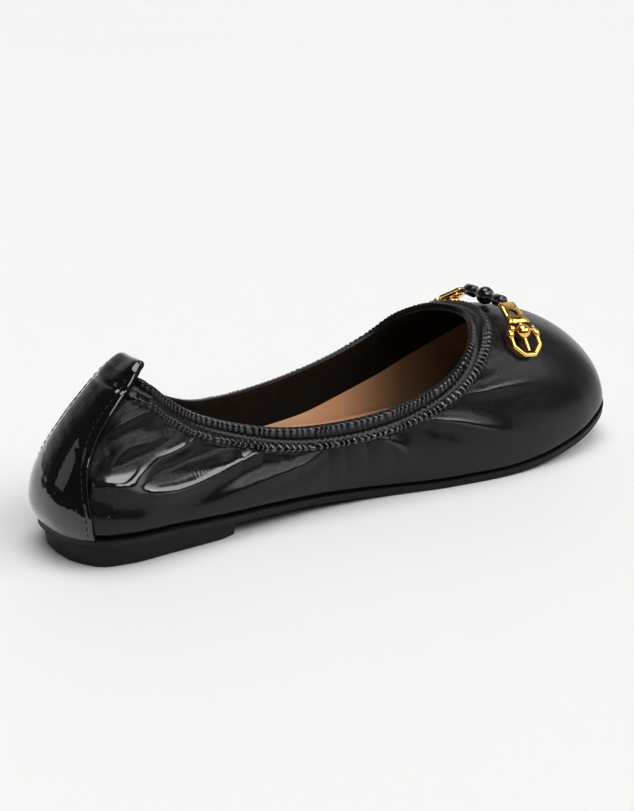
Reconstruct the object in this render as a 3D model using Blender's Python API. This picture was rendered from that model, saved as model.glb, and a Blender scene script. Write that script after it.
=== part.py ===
"""Ballet flat, left shoe: a hollow elasticated upper on a thin sole with a low heel block.

The toe points to +X, the medial side to -Y, and +Z is up. The origin is on the floor at the middle of
the whole shoe's box. Every curved piece is worked out from the same rows of the last: a row names a
point of the feather line, where the upper meets the sole, a point of the topline, and the two handles
of the curved rib between them.
"""

import math

import bmesh
import bpy
import numpy as np

COLLECTION_NAME = "ballet_flat"
HELPERS_NAME = "ballet_flat_cutters"

# Main sizes, in metres
LENGTH = 0.250
BALL_WIDTH = 0.079
INSTEP_HEIGHT = 0.0564
HEEL_HEIGHT = 0.0075
TOE_SPRING = 0.0140

# Walls and fits
CLEARANCE = 0.0003
WELD = 0.000001
UPPER_WALL = 0.0017
RIM_RISE = 0.3
STRAP_THICKNESS = 0.0012
SOLE_THICKNESS = 0.0030
INSOLE_THICKNESS = 0.0020

# Elastic casing round the topline
CASING_WIDTH = 0.0095
CASING_PROUD = 0.0011

# Rows of the last from the strap's top corner to the casing's start, and over which it then rises
CASING_START = 0.08
CASING_GROWS = 0.48

# Sole and heel block
LIP_PROUD = 0.0014
BLOCK_INSET = 0.0010
BLOCK_TAPER = 0.0006
BREAST_AT = 0.250
BREAST_CUT = 0.0015
EDGE_CUT = 0.0008
EDGE_SOFT = 0.0004
LIP_NARROWS = (4, 8)
LIP_LEFT = 0.4

# Back strap
TAB_RISE = 0.0075
TAB_FLAP = 0.0070
TAB_LEAN = 0.0015
TAB_BEND = 0.35
TAB_STEPS = 7

# Ornament
BIT_AT = 0.0145
BIT_LIFT = 0.0038
LINK_DROOP = 0.9
BAR_LENGTH = 0.0240
BAR_RADIUS = 0.0024
BEAD_RADIUS = 0.0036
PLATE_LENGTH = 0.0115
PLATE_WIDE = 0.0105
PLATE_NARROW = 0.0070
PLATE_THICKNESS = 0.0016
PLATE_HOLE = 0.0040
HOLE_AT = 0.52
BALL_RADIUS = 0.0031
LINK_LENGTH = 0.0125
LINK_WIDTH = 0.0130
LINK_WIRE = 0.0009
LINK_BEAD = 0.0015
LINK_TIP = 0.6

# Facets
COLUMNS_PER_ROW = 4
RIB_SAMPLES = 48
OUTER_SPANS = 8
INNER_SPANS = 6
FOOT_CROWDING = 1.4
STRAP_STRIPS = 16
STRAP_SPANS = 13
LINK_SEGMENTS = 6
BALL_SEGMENTS = 14
BALL_STEPS = 9
HOLE_SEGMENTS = 20
HEEL_STRIPS = 30
FINE_ROWS = 400
VAMP_ROWS = 160
VAMP_FROM_ROW = 8
VAMP_FROM_SHARE = 0.3
VAMP_NEAREST = 8
ROW_STEP = 0.02
SHARE_STEP = 0.002
SHARP_ANGLE = 40

# Rows of the last from the back of the heel to the toe.
# foot_: the feather line, top_: the topline. _along: share of LENGTH, _half and swing: of BALL_WIDTH,
# swing to the lateral side, top_height and the rest: of INSTEP_HEIGHT. The lower handle of a rib goes up
# by rise and outward by out, the upper one down by drop and outward by lean.
LAST_COLUMNS = ("foot_along", "foot_half", "swing", "top_along", "top_half", "top_swing", "top_height",
                "rise", "out", "drop", "lean")
LAST_ROWS = (
    (0.008, 0.000, -0.063, 0.120, 0.000, -0.063, 1.090, 0.183, 0.151, 0.307, 0.372),
    (0.015, 0.152, -0.063, 0.124, 0.095, -0.063, 1.090, 0.183, 0.142, 0.301, 0.319),
    (0.036, 0.257, -0.063, 0.138, 0.139, -0.063, 1.060, 0.186, 0.115, 0.301, 0.213),
    (0.080, 0.311, -0.061, 0.164, 0.148, -0.059, 0.950, 0.186, 0.089, 0.248, 0.151),
    (0.144, 0.323, -0.054, 0.204, 0.157, -0.049, 0.816, 0.177, 0.071, 0.213, 0.124),
    (0.224, 0.329, -0.046, 0.260, 0.177, -0.038, 0.695, 0.168, 0.062, 0.177, 0.115),
    (0.312, 0.329, -0.028, 0.332, 0.258, -0.025, 0.613, 0.160, 0.057, 0.151, 0.089),
    (0.416, 0.337, -0.006, 0.416, 0.322, -0.010, 0.582, 0.151, 0.053, 0.151, 0.071),
    (0.520, 0.387, 0.013, 0.504, 0.363, 0.003, 0.596, 0.160, 0.053, 0.151, 0.071),
    (0.620, 0.461, 0.015, 0.580, 0.372, 0.008, 0.656, 0.177, 0.050, 0.160, 0.098),
    (0.720, 0.497, 0.008, 0.640, 0.352, 0.008, 0.755, 0.213, 0.039, 0.151, 0.160),
    (0.820, 0.476, -0.008, 0.684, 0.287, 0.005, 0.897, 0.248, 0.035, 0.098, 0.284),
    (0.902, 0.395, -0.028, 0.712, 0.171, 0.003, 0.979, 0.266, 0.035, 0.035, 0.426),
    (0.960, 0.258, -0.046, 0.724, 0.080, 0.000, 0.996, 0.284, 0.039, -0.027, 0.567),
    (0.992, 0.000, -0.056, 0.727, 0.000, 0.000, 1.000, 0.293, 0.046, -0.053, 0.638),
)

# The sole on its way from heel to toe. under: height of its underside, share of HEEL_HEIGHT,
# spring: of TOE_SPRING, thick: its thickness, share of SOLE_THICKNESS.
SOLE_COLUMNS = ("along", "under", "spring", "thick")
SOLE_ROWS = (
    (0.000, 1.00, 0.00, 1.26),
    (0.120, 0.93, 0.00, 1.20),
    (0.250, 0.75, 0.00, 1.06),
    (0.360, 0.53, 0.00, 1.00),
    (0.470, 0.22, 0.00, 0.97),
    (0.560, 0.02, 0.00, 0.95),
    (0.600, 0.00, 0.00, 0.95),
    (0.660, 0.00, 0.00, 0.95),
    (0.730, 0.00, 0.01, 0.95),
    (0.820, 0.00, 0.20, 0.95),
    (0.910, 0.00, 0.55, 0.95),
    (1.000, 0.00, 1.00, 0.95),
)

# Profile of the outsole's edge, from its underside up. high: share of the thickness,
# lip: share of the lip's width that it stands out by.
EDGE_COLUMNS = ("high", "lip")
EDGE_ROWS = (
    (0.00, 0.58),
    (0.30, 0.55),
    (0.85, 1.00),
    (1.00, 0.77),
)

# Outer profile of the casing, down from the topline. down: share of CASING_WIDTH, proud: of CASING_PROUD.
CASING_COLUMNS = ("down", "proud")
CASING_ROWS = (
    (0.00, 0.10),
    (0.07, 0.75),
    (0.18, 0.95),
    (0.30, 0.70),
    (0.50, 0.45),
    (0.68, 0.60),
    (0.80, 1.00),
    (0.92, 0.80),
    (1.04, 0.00),
)

# Edge of the back strap on its way up the heel. up: share of the rib, edge: row of the last.
STRAP_COLUMNS = ("up", "edge")
STRAP_ROWS = (
    (0.00, 1.96),
    (0.12, 1.80),
    (0.25, 1.45),
    (0.40, 1.12),
    (0.55, 0.98),
    (0.70, 0.98),
    (0.85, 1.08),
    (1.00, 1.30),
)

# Half of the bar from its end to its middle bead. along: share of half of BAR_LENGTH, thick: of BAR_RADIUS.
BAR_COLUMNS = ("along", "thick")
BAR_ROWS = (
    (1.00, 0.00),
    (1.00, 0.72),
    (0.86, 1.00),
    (0.62, 1.00),
    (0.52, 0.72),
    (0.30, 0.72),
)
# Side angles of the bar's bead and of the arms' balls, in degrees
BEAD_ANGLE = 58
BALL_ANGLE = 74
BEAD_CURVE = 7

# Corners of an end link. out: share of LINK_LENGTH from the plate, across: share of LINK_WIDTH.
LINK_COLUMNS = ("out", "across")
LINK_ROWS = (
    (0.00, -0.36),
    (0.20, -0.50),
    (0.62, -0.50),
    (0.92, -0.20),
    (0.92, 0.20),
    (0.62, 0.50),
    (0.20, 0.50),
    (0.00, 0.36),
)
# Swelling of the link's wire round a corner: way from the corner in LINK_BEAD, share of the swelling.
BEAD_STEPS = ((-1.0, 0.0), (-0.6, 0.75), (0.0, 1.0), (0.6, 0.75), (1.0, 0.0))


def column(names, rows, name):
    """One named column of a table, as an array."""
    return np.array([row[names.index(name)] for row in rows])


def smooth(at, values, where):
    """A smooth curve through the values at rising positions, each slope taken from its two neighbours."""
    at = np.asarray(at, float)
    values = np.asarray(values, float)
    step = np.diff(at)
    rate = np.diff(values) / step
    slope = np.empty_like(values)
    slope[1:-1] = (rate[:-1] * step[1:] + rate[1:] * step[:-1]) / (step[1:] + step[:-1])
    slope[0] = rate[0]
    slope[-1] = rate[-1]
    where = np.clip(where, at[0], at[-1])
    i = np.clip(np.searchsorted(at, where, side="right") - 1, 0, len(step) - 1)
    h = step[i]
    t = (where - at[i]) / h
    a = values[i]
    b = values[i + 1]
    return (a * (1 + 2 * t) * (1 - t) ** 2 + slope[i] * h * t * (1 - t) ** 2
            + b * t * t * (3 - 2 * t) - slope[i + 1] * h * t * t * (1 - t))


def last_column(name, mirrored):
    """A column of the last with three rows repeated past heel and toe, so that it closes smoothly."""
    values = column(LAST_COLUMNS, LAST_ROWS, name)
    before = values[3:0:-1]
    after = values[-2:-5:-1]
    if mirrored:
        before = -before
        after = -after
    return np.concatenate([before, values, after])


def last_knots():
    """Positions of the repeated rows on the ring, spaced by the way between them on feather and topline."""
    foot = np.stack([last_column("foot_along", False) * LENGTH,
                     last_column("foot_half", True) * BALL_WIDTH], 1)
    top = np.stack([last_column("top_along", False) * LENGTH, last_column("top_half", True) * BALL_WIDTH,
                    last_column("top_height", False) * INSTEP_HEIGHT], 1)
    way = np.linalg.norm(np.diff(foot, axis=0), axis=1) + np.linalg.norm(np.diff(top, axis=0), axis=1)
    knots = np.concatenate([[0.0], np.cumsum(way)])
    return knots - knots[3]


def last_at(row, name, mirrored=False):
    """A column of the last at any row number, between rows too."""
    knots = last_knots()
    rows = np.arange(len(knots)) - 3.0
    where = np.interp(row, rows, knots)
    return smooth(knots, last_column(name, mirrored), where)


def sole_under(x):
    """Height of the sole's underside at this distance from the heel's back."""
    along = column(SOLE_COLUMNS, SOLE_ROWS, "along")
    under = column(SOLE_COLUMNS, SOLE_ROWS, "under") * HEEL_HEIGHT
    spring = column(SOLE_COLUMNS, SOLE_ROWS, "spring") * TOE_SPRING
    return np.maximum(smooth(along, under + spring, x / LENGTH), 0.0)


def sole_thick(x):
    """Thickness of the sole, greatest at the heel."""
    thick = column(SOLE_COLUMNS, SOLE_ROWS, "thick") * SOLE_THICKNESS
    return smooth(column(SOLE_COLUMNS, SOLE_ROWS, "along"), thick, x / LENGTH)


def sole_top(x):
    """Height of the sole's upper face."""
    return sole_under(x) + sole_thick(x)


def outward(ahead, side):
    """Unit direction out of the shoe on plan, square to the way from heel to toe."""
    out = np.stack([ahead[..., 1], -ahead[..., 0]], -1) * -np.asarray(side)[..., None]
    return out / np.linalg.norm(out, axis=-1, keepdims=True)


def foot_point(row, side):
    """Point of the feather line on plan and its outward direction."""

    def plain(r):
        return np.stack([last_at(r, "foot_along") * LENGTH,
                         (last_at(r, "swing") + side * last_at(r, "foot_half", True)) * BALL_WIDTH], -1)

    ahead = plain(row + ROW_STEP) - plain(row - ROW_STEP)
    out = outward(ahead, side)
    return plain(row), out


def top_point(row, side):
    """Point of the topline and its outward direction on plan."""

    def plain(r):
        return np.stack([last_at(r, "top_along") * LENGTH,
                         (last_at(r, "top_swing") + side * last_at(r, "top_half", True)) * BALL_WIDTH], -1)

    ahead = plain(row + ROW_STEP) - plain(row - ROW_STEP)
    out = outward(ahead, side)
    height = last_at(row, "top_height") * INSTEP_HEIGHT
    return np.concatenate([plain(row), height[..., None]], -1), out


def ribs(row, side):
    """The four control points of each rib, from the feather line up to the topline."""
    flat, foot_out = foot_point(row, side)
    start = np.concatenate([flat, (sole_top(flat[..., 0]) + CLEARANCE)[..., None]], -1)
    end, top_out = top_point(row, side)
    rise = last_at(row, "rise") * INSTEP_HEIGHT
    out = last_at(row, "out") * INSTEP_HEIGHT
    drop = last_at(row, "drop") * INSTEP_HEIGHT
    lean = last_at(row, "lean") * INSTEP_HEIGHT
    first = start + np.concatenate([foot_out * out[..., None], rise[..., None]], -1)
    last = end + np.concatenate([top_out * lean[..., None], -drop[..., None]], -1)
    return np.stack([start, first, last, end], -2)


def along_rib(points, share):
    """Places on cubic ribs at the given shares: points (..., 4, 3) and share (..., n) make (..., n, 3)."""
    t = share[..., None]
    p = points[..., None, :, :]
    return (p[..., 0, :] * (1 - t) ** 3 + p[..., 1, :] * 3 * t * (1 - t) ** 2
            + p[..., 2, :] * 3 * t * t * (1 - t) + p[..., 3, :] * t ** 3)


def ring_rows():
    """Row number and side of each column of the ring: heel, medial side, toe, lateral side."""
    last = len(LAST_ROWS) - 1
    steps = last * COLUMNS_PER_ROW
    rows = np.concatenate([np.arange(steps), np.arange(steps, 0, -1)]) / COLUMNS_PER_ROW
    sides = np.concatenate([-np.ones(steps), np.ones(steps)])
    return rows, sides


def rib_grid(row, side, shares):
    """Points (columns, rows, 3) of the last's surface, with shares measured by length along each rib."""
    points = ribs(row, side)
    t = np.broadcast_to(np.linspace(0, 1, RIB_SAMPLES), (len(row), RIB_SAMPLES))
    fine = along_rib(points, t)
    run = np.concatenate([np.zeros((len(row), 1)),
                          np.cumsum(np.linalg.norm(np.diff(fine, axis=1), axis=2), axis=1)], 1)
    length = run[:, -1]
    wanted = shares(length)
    share = np.stack([np.interp(w, r, np.linspace(0, 1, RIB_SAMPLES)) for w, r in zip(wanted, run)])
    return along_rib(points, share), share, length


def surface_normals(row, side, share):
    """Outward unit normals of the last's surface at these places."""
    low = np.clip(share - SHARE_STEP, 0, 1)
    high = np.clip(share + SHARE_STEP, 0, 1)
    points = ribs(row, side)
    up = along_rib(points, high) - along_rib(points, low)
    ahead = (along_rib(ribs(row + ROW_STEP, side), share)
             - along_rib(ribs(row - ROW_STEP, side), share))
    normal = np.cross(ahead, up) * np.asarray(side)[:, None, None] * -1.0
    return normal / np.linalg.norm(normal, axis=2, keepdims=True)


def casing_fade(row):
    """The casing dies out under the back strap."""
    t = np.clip((np.abs(row) - STRAP_ROWS[-1][1] - CASING_START) / CASING_GROWS, 0, 1)
    return t * t * (3 - 2 * t)


def casing_proud(down, row):
    """How far the casing stands out of the wall, at this length below the topline."""
    at = column(CASING_COLUMNS, CASING_ROWS, "down") * CASING_WIDTH
    proud = column(CASING_COLUMNS, CASING_ROWS, "proud") * CASING_PROUD
    return np.interp(down, at, proud) * casing_fade(row)[:, None]


def wall_shares(spans, crowding):
    """Lengths along a rib: spans crowded to the foot up to the casing, then the casing's own rows."""
    down = column(CASING_COLUMNS, CASING_ROWS, "down")[::-1] * CASING_WIDTH

    def shares(length):
        even = np.linspace(0, 1, spans + 1)[:-1] ** crowding * (length[:, None] - down[0])
        return np.concatenate([even, length[:, None] - down], 1)

    return shares


def grid_faces(columns, rows, closed):
    """Quads over a grid of points stored column by column; the last column meets the first when closed."""
    faces = []
    for c in range(columns if closed else columns - 1):
        d = (c + 1) % columns
        for r in range(rows - 1):
            faces.append((c * rows + r, d * rows + r, d * rows + r + 1, c * rows + r + 1))
    return faces


def new_object(name, points, faces, material, collection):
    """A mesh object with merged twins and faces turned outward."""
    mesh = bpy.data.meshes.new(name)
    mesh.from_pydata([tuple(p) for p in np.asarray(points).reshape(-1, 3)], [], faces)
    builder = bmesh.new()
    builder.from_mesh(mesh)
    bmesh.ops.remove_doubles(builder, verts=builder.verts, dist=WELD)
    bmesh.ops.recalc_face_normals(builder, faces=builder.faces)
    builder.to_mesh(mesh)
    builder.free()
    mesh.shade_smooth()
    mesh.set_sharp_from_angle(angle=math.radians(SHARP_ANGLE))
    if material is not None:
        mesh.materials.append(material)
    obj = bpy.data.objects.new(name, mesh)
    collection.objects.link(obj)
    return obj


def new_material(name, color, roughness, metallic=0.0, coat=0.0):
    """A plain Principled material."""
    material = bpy.data.materials.new(name)
    material.use_nodes = True
    shader = material.node_tree.nodes["Principled BSDF"]
    shader.inputs["Base Color"].default_value = (*color, 1.0)
    shader.inputs["Roughness"].default_value = roughness
    shader.inputs["Metallic"].default_value = metallic
    shader.inputs["Coat Weight"].default_value = coat
    return material


def upper_points():
    """Closed section of the wall at each column: up the outside, over the topline and down the inside."""
    row, side = ring_rows()
    outer, share, length = rib_grid(row, side, wall_shares(OUTER_SPANS, 1.0))
    normal = surface_normals(row, side, share)
    down = length[:, None] - wall_shares(OUTER_SPANS, 1.0)(length)
    proud = casing_proud(down, row)
    outside = outer + normal * proud[..., None]
    flat, foot_out = foot_point(row, side)
    inner, share, length = rib_grid(row, side, wall_shares(INNER_SPANS, FOOT_CROWDING))
    keep = np.r_[0:INNER_SPANS + 1, inner.shape[1] - 4, inner.shape[1] - 1]
    inner = inner[:, keep]
    inside = inner - surface_normals(row, side, share[:, keep]) * UPPER_WALL
    inside[:, 0, :2] = flat - foot_out * UPPER_WALL
    inside[:, 0, 2] = sole_top(inside[:, 0, 0]) + CLEARANCE
    along = outer[:, -1] - outer[:, -2]
    along /= np.linalg.norm(along, axis=1, keepdims=True)
    rim = (outside[:, -1] + inside[:, -1]) / 2 + along * UPPER_WALL * RIM_RISE
    return np.concatenate([outside, rim[:, None], inside[:, ::-1]], 1)


def build_upper(material, collection):
    section = upper_points()
    section = np.concatenate([section, section[:, :1]], 1)
    columns, rows = section.shape[:2]
    return new_object("upper", section, grid_faces(columns, rows, True), material, collection)


def strap_edge(up):
    """Row of the last at which the back strap ends, at this share of the rib."""
    return smooth(column(STRAP_COLUMNS, STRAP_ROWS, "up"),
                  column(STRAP_COLUMNS, STRAP_ROWS, "edge"), up)


def strap_place(across, up):
    """Point and normal of the last where the strap lies: across from -1 to 1, up from 0 to 1 by length."""
    row = across * strap_edge(up)
    side = np.full(row.shape, -1.0)
    flat_row = row.ravel()
    flat_up = up.ravel()
    points, share, length = rib_grid(flat_row, side.ravel(), lambda run: (flat_up * run)[:, None])
    normal = surface_normals(flat_row, side.ravel(), share)
    return points[:, 0].reshape(row.shape + (3,)), normal[:, 0].reshape(row.shape + (3,))


def strap_points():
    """Section of the strap at each column: up its outer face, round the tab, down inside and back."""
    across = np.linspace(-1, 1, STRAP_STRIPS + 1)[:, None]
    up = np.linspace(0, 1, STRAP_SPANS + 1)[None, :]
    place, normal = strap_place(across + 0 * up, up + 0 * across)
    near = CLEARANCE
    far = CLEARANCE + STRAP_THICKNESS
    top = place[:, -1]
    top_normal = normal[:, -1]
    along = place[:, -1] - place[:, -2]
    along -= top_normal * (along * top_normal).sum(1)[:, None]
    along /= np.linalg.norm(along, axis=1, keepdims=True)
    radius = (UPPER_WALL + 2 * far) / 2
    middle = far - radius

    def raised(height, out):
        lean = TAB_LEAN * (height / TAB_RISE) ** 2
        return top + along * height + top_normal * (out - lean)

    roll = [raised(TAB_RISE * TAB_BEND, far)]
    for angle in np.linspace(0, math.pi, TAB_STEPS):
        roll.append(raised(TAB_RISE - radius + radius * math.sin(angle), middle + radius * math.cos(angle)))
    roll.append(raised(0.0, -UPPER_WALL - far))
    flap_up = 1 - TAB_FLAP / np.linalg.norm(np.diff(place, axis=1), axis=2).sum(1)
    flap, flap_normal = strap_place(across[:, 0], flap_up)
    half, half_normal = strap_place(across[:, 0], (1 + flap_up) / 2)
    tuck = [half - half_normal * (UPPER_WALL + far), flap - flap_normal * (UPPER_WALL + far),
            flap - flap_normal * (UPPER_WALL + near), half - half_normal * (UPPER_WALL + near)]
    over = UPPER_WALL * RIM_RISE + CLEARANCE * 2
    rim = [top - top_normal * (UPPER_WALL + near) + along * over * 0.5,
           top - top_normal * UPPER_WALL * 0.5 + along * over,
           top + top_normal * near + along * over * 0.5]
    outer = place + normal * far
    inner = place + normal * near
    outer[:, 0, 2] = sole_top(outer[:, 0, 0]) + CLEARANCE
    inner[:, 0, 2] = sole_top(inner[:, 0, 0]) + CLEARANCE
    parts = [outer] + [p[:, None] for p in roll + tuck + rim] + [inner[:, ::-1]]
    return np.concatenate(parts, 1)


def build_back_strap(material, collection):
    section = strap_points()
    columns, rows = section.shape[:2]
    faces = grid_faces(columns, rows, False)
    for c in range(columns - 1):
        d = c + 1
        faces.append((c * rows + rows - 1, d * rows + rows - 1, d * rows, c * rows))
    obj = new_object("back_strap", section, faces, material, collection)
    builder = bmesh.new()
    builder.from_mesh(obj.data)
    open_edges = [e for e in builder.edges if e.is_boundary]
    filled = bmesh.ops.holes_fill(builder, edges=open_edges)
    bmesh.ops.triangulate(builder, faces=filled["faces"])
    bmesh.ops.recalc_face_normals(builder, faces=builder.faces)
    builder.to_mesh(obj.data)
    builder.free()
    return obj


def ladder(levels, heights):
    """Closed solid from levels of a ring that starts at its back point and whose halves face across y.

    levels: points (levels, columns, 2) on plan; heights: (levels, columns). The first and the last level
    are closed by rungs from each column to its partner on the other side.
    """
    count, columns = levels.shape[:2]
    points = np.concatenate([levels, heights[..., None]], -1)
    faces = []
    for k in range(count - 1):
        for c in range(columns):
            d = (c + 1) % columns
            faces.append((k * columns + c, k * columns + d, (k + 1) * columns + d, (k + 1) * columns + c))
    for k in (0, count - 1):
        base = k * columns
        for c in range(columns // 2):
            rung = (base + c, base + c + 1, base + columns - c - 1, base + (columns - c) % columns)
            corners = list(dict.fromkeys(rung))
            if len(corners) > 2:
                faces.append(tuple(corners))
    return points, faces


def outline(inset):
    """Ring of plan points set in from the feather line by one width, or by one for each column."""
    row, side = ring_rows()
    flat, out = foot_point(row, side)
    return flat - out * np.broadcast_to(inset, row.shape)[:, None]


def build_outsole(material, collection):
    """Thin sole whose edge flares up to a lip, widest round the heel."""
    row, _ = ring_rows()
    narrows = np.clip((row - LIP_NARROWS[0]) / (LIP_NARROWS[1] - LIP_NARROWS[0]), 0, 1)
    lip = LIP_PROUD * (1 - (1 - LIP_LEFT) * narrows)
    levels = np.stack([outline(-share * lip) for share in column(EDGE_COLUMNS, EDGE_ROWS, "lip")])
    x = levels[..., 0]
    heights = sole_under(x) + sole_thick(x) * column(EDGE_COLUMNS, EDGE_ROWS, "high")[:, None]
    points, faces = ladder(levels, heights)
    return new_object("outsole", points, faces, material, collection)


def build_heel(material, collection):
    """D-shaped block under the sole with a straight breast."""
    rows = np.linspace(0, len(LAST_ROWS) - 1, FINE_ROWS)
    along = foot_point(rows, -np.ones(FINE_ROWS))[0][:, 0]
    front = float(np.interp(BREAST_AT * LENGTH, along, rows))
    row = np.linspace(0, front, HEEL_STRIPS + 1)
    side = np.ones(HEEL_STRIPS + 1)
    foot_inset = BLOCK_INSET + BLOCK_TAPER
    levels = []
    for inset in (foot_inset + EDGE_CUT, foot_inset, BLOCK_INSET - LIP_PROUD / 2):
        near, near_out = foot_point(row, -side)
        far, far_out = foot_point(row, side)
        levels.append(np.concatenate([near - near_out * inset, (far - far_out * inset)[:0:-1]]))
    levels = np.stack(levels)
    levels[..., 0] = np.minimum(levels[..., 0], BREAST_AT * LENGTH)
    levels[0, :, 0] = np.minimum(levels[0, :, 0], BREAST_AT * LENGTH - BREAST_CUT)
    x = levels[..., 0]
    heights = np.stack([0 * x[0], 0 * x[1] + EDGE_CUT, sole_under(x[2]) - CLEARANCE])
    points, faces = ladder(levels, heights)
    return new_object("heel", points, faces, material, collection)


def build_insole(material, collection):
    """Flat insole inside the wall, on the sole's upper face."""
    inset = UPPER_WALL + CLEARANCE
    levels = np.stack([outline(inset), outline(inset), outline(inset + EDGE_SOFT)])
    x = levels[..., 0]
    rise = np.array([0.0, INSOLE_THICKNESS - EDGE_SOFT, INSOLE_THICKNESS])
    heights = sole_top(x) + CLEARANCE + rise[:, None]
    points, faces = ladder(levels, heights)
    return new_object("insole", points, faces, material, collection)


def vamp_height(x, y):
    """Height of the vamp's outside over a place on plan, from the nearest points of a fine grid of it."""
    front = np.linspace(VAMP_FROM_ROW, len(LAST_ROWS) - 1, VAMP_ROWS)
    row = np.concatenate([front, front])
    side = np.repeat([-1.0, 1.0], VAMP_ROWS)
    shares = np.broadcast_to(np.linspace(VAMP_FROM_SHARE, 1.0, VAMP_ROWS), (2 * VAMP_ROWS, VAMP_ROWS))
    points = along_rib(ribs(row, side), shares).reshape(-1, 3)
    away = (points[:, 0] - x) ** 2 + (points[:, 1] - y) ** 2
    near = np.argsort(away)[:VAMP_NEAREST]
    weight = 1 / (away[near] + WELD ** 2)
    return float((points[near, 2] * weight).sum() / weight.sum())


def turned(profile, segments):
    """Closed solid of revolution round y: profile rows are (y, radius), with radius 0 at both ends."""
    points = []
    for y, radius in profile:
        if radius == 0:
            points.append([(0, y, 0)])
            continue
        angles = np.arange(segments) * 2 * np.pi / segments
        points.append([(radius * math.cos(a), y, radius * math.sin(a)) for a in angles])
    flat = [p for ring in points for p in ring]
    start = np.cumsum([0] + [len(ring) for ring in points])
    faces = []
    for k in range(len(points) - 1):
        a = start[k]
        b = start[k + 1]
        for i in range(segments):
            j = (i + 1) % segments
            if len(points[k]) == 1:
                faces.append((a, b + i, b + j))
            elif len(points[k + 1]) == 1:
                faces.append((a + i, b, a + j))
            else:
                faces.append((a + i, b + i, b + j, a + j))
    return np.array(flat), faces


def round_rows(y, radius, steps, most):
    """Profile rows of a ball centred at y, up to this side angle on either side of its middle."""
    angles = np.radians(np.linspace(-most, most, steps))
    return [(y + radius * math.sin(a), radius * math.cos(a)) for a in angles]


def link_points():
    """Open link in its own plane, from one plate corner round to the other, with a bead at each corner."""
    corners = np.array(column(LINK_COLUMNS, LINK_ROWS, "out"))[:, None] * (LINK_LENGTH, 0)
    corners = corners + column(LINK_COLUMNS, LINK_ROWS, "across")[:, None] * (0, LINK_WIDTH)
    path = []
    radius = []
    count = len(corners)
    for k in range(count):
        here = corners[k]
        back = corners[max(k - 1, 0)] - here
        on = corners[min(k + 1, count - 1)] - here
        back = -on if k == 0 else back
        on = -back if k == count - 1 else on
        back = back / np.linalg.norm(back)
        on = on / np.linalg.norm(on)
        for way, size in BEAD_STEPS:
            path.append(here + (back * -way if way < 0 else on * way) * LINK_BEAD)
            radius.append(LINK_WIRE + (LINK_BEAD - LINK_WIRE) * size)
    path = np.array(path)
    radius = np.array(radius)
    radius[0] = radius[-1] = LINK_WIRE * LINK_TIP
    ahead = np.gradient(path, axis=0)
    ahead /= np.linalg.norm(ahead, axis=1, keepdims=True)
    out = np.stack([ahead[:, 1], -ahead[:, 0]], 1)
    angles = np.arange(LINK_SEGMENTS) * 2 * np.pi / LINK_SEGMENTS
    points = np.zeros((len(path), LINK_SEGMENTS, 3))
    points[..., 1] = path[:, None, 0] + out[:, None, 0] * radius[:, None] * np.cos(angles)
    points[..., 0] = path[:, None, 1] + out[:, None, 1] * radius[:, None] * np.cos(angles)
    points[..., 2] = radius[:, None] * np.sin(angles)
    return points


def bit_frames():
    """Places of the ornament: its middle on the vamp, and how far plate and link tip down on each side."""
    last = float(len(LAST_ROWS) - 1)
    place, share, _ = rib_grid(np.array([last]), np.array([-1.0]), lambda run: (run - BIT_AT)[:, None])
    middle = place[0, 0]
    normal = surface_normals(np.array([last]), np.array([-1.0]), share)[0, 0]
    pitch = math.atan2(normal[0], normal[2])
    end = BAR_LENGTH / 2
    bends = (0.0, end, end + PLATE_LENGTH, end + PLATE_LENGTH + LINK_LENGTH)
    frames = {}
    for name, side in (("medial", -1), ("lateral", 1)):
        high = [vamp_height(middle[0], middle[1] + side * reach) for reach in bends]
        plate = math.atan2(high[1] - high[2], bends[2] - bends[1])
        link = math.atan2(high[2] - high[3], bends[3] - bends[2]) * LINK_DROOP
        frames[name] = (middle + normal * BIT_LIFT, pitch, plate, link, side)
    return frames


def tipped(points, angle, hinge):
    """Points turned down by the angle round a line along x at this y."""
    y = points[:, 1] - hinge
    z = points[:, 2]
    c = math.cos(angle)
    s = math.sin(angle)
    return np.stack([points[:, 0], hinge + y * c + z * s, z * c - y * s], 1)


def set_in(points, frame, piece):
    """Puts points of the bar, or of an arm drawn along +y from the bar's end, in place on the vamp."""
    origin, pitch, plate, link, side = frame
    points = np.asarray(points, float).reshape(-1, 3)
    if piece == "link":
        points = tipped(points, link - plate, PLATE_LENGTH)
    if piece != "bar":
        points = tipped(points, plate, 0.0)
        points = points * (1, side, 1) + (0, side * BAR_LENGTH / 2, 0)
    c = math.cos(pitch)
    s = math.sin(pitch)
    x = points[:, 0] * c + points[:, 2] * s
    z = points[:, 2] * c - points[:, 0] * s
    return np.stack([x, points[:, 1], z], 1) + origin


def build_bit(gold, lacquer, collection, cutters):
    """The ornament: bar, two plates with a hole, two balls and two links."""
    frames = bit_frames()
    along = column(BAR_COLUMNS, BAR_ROWS, "along") * (BAR_LENGTH / 2 - CLEARANCE)
    thick = column(BAR_COLUMNS, BAR_ROWS, "thick") * BAR_RADIUS
    profile = list(zip(-along, thick)) + round_rows(0.0, BEAD_RADIUS, BEAD_CURVE, BEAD_ANGLE)
    profile += list(zip(along[::-1], thick[::-1]))
    points, faces = turned(profile, BALL_SEGMENTS)
    new_object("bit_bar", set_in(points, frames["medial"], "bar"), faces, lacquer, collection)
    for name in ("medial", "lateral"):
        build_arm(name, frames[name], gold, collection, cutters)


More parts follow.
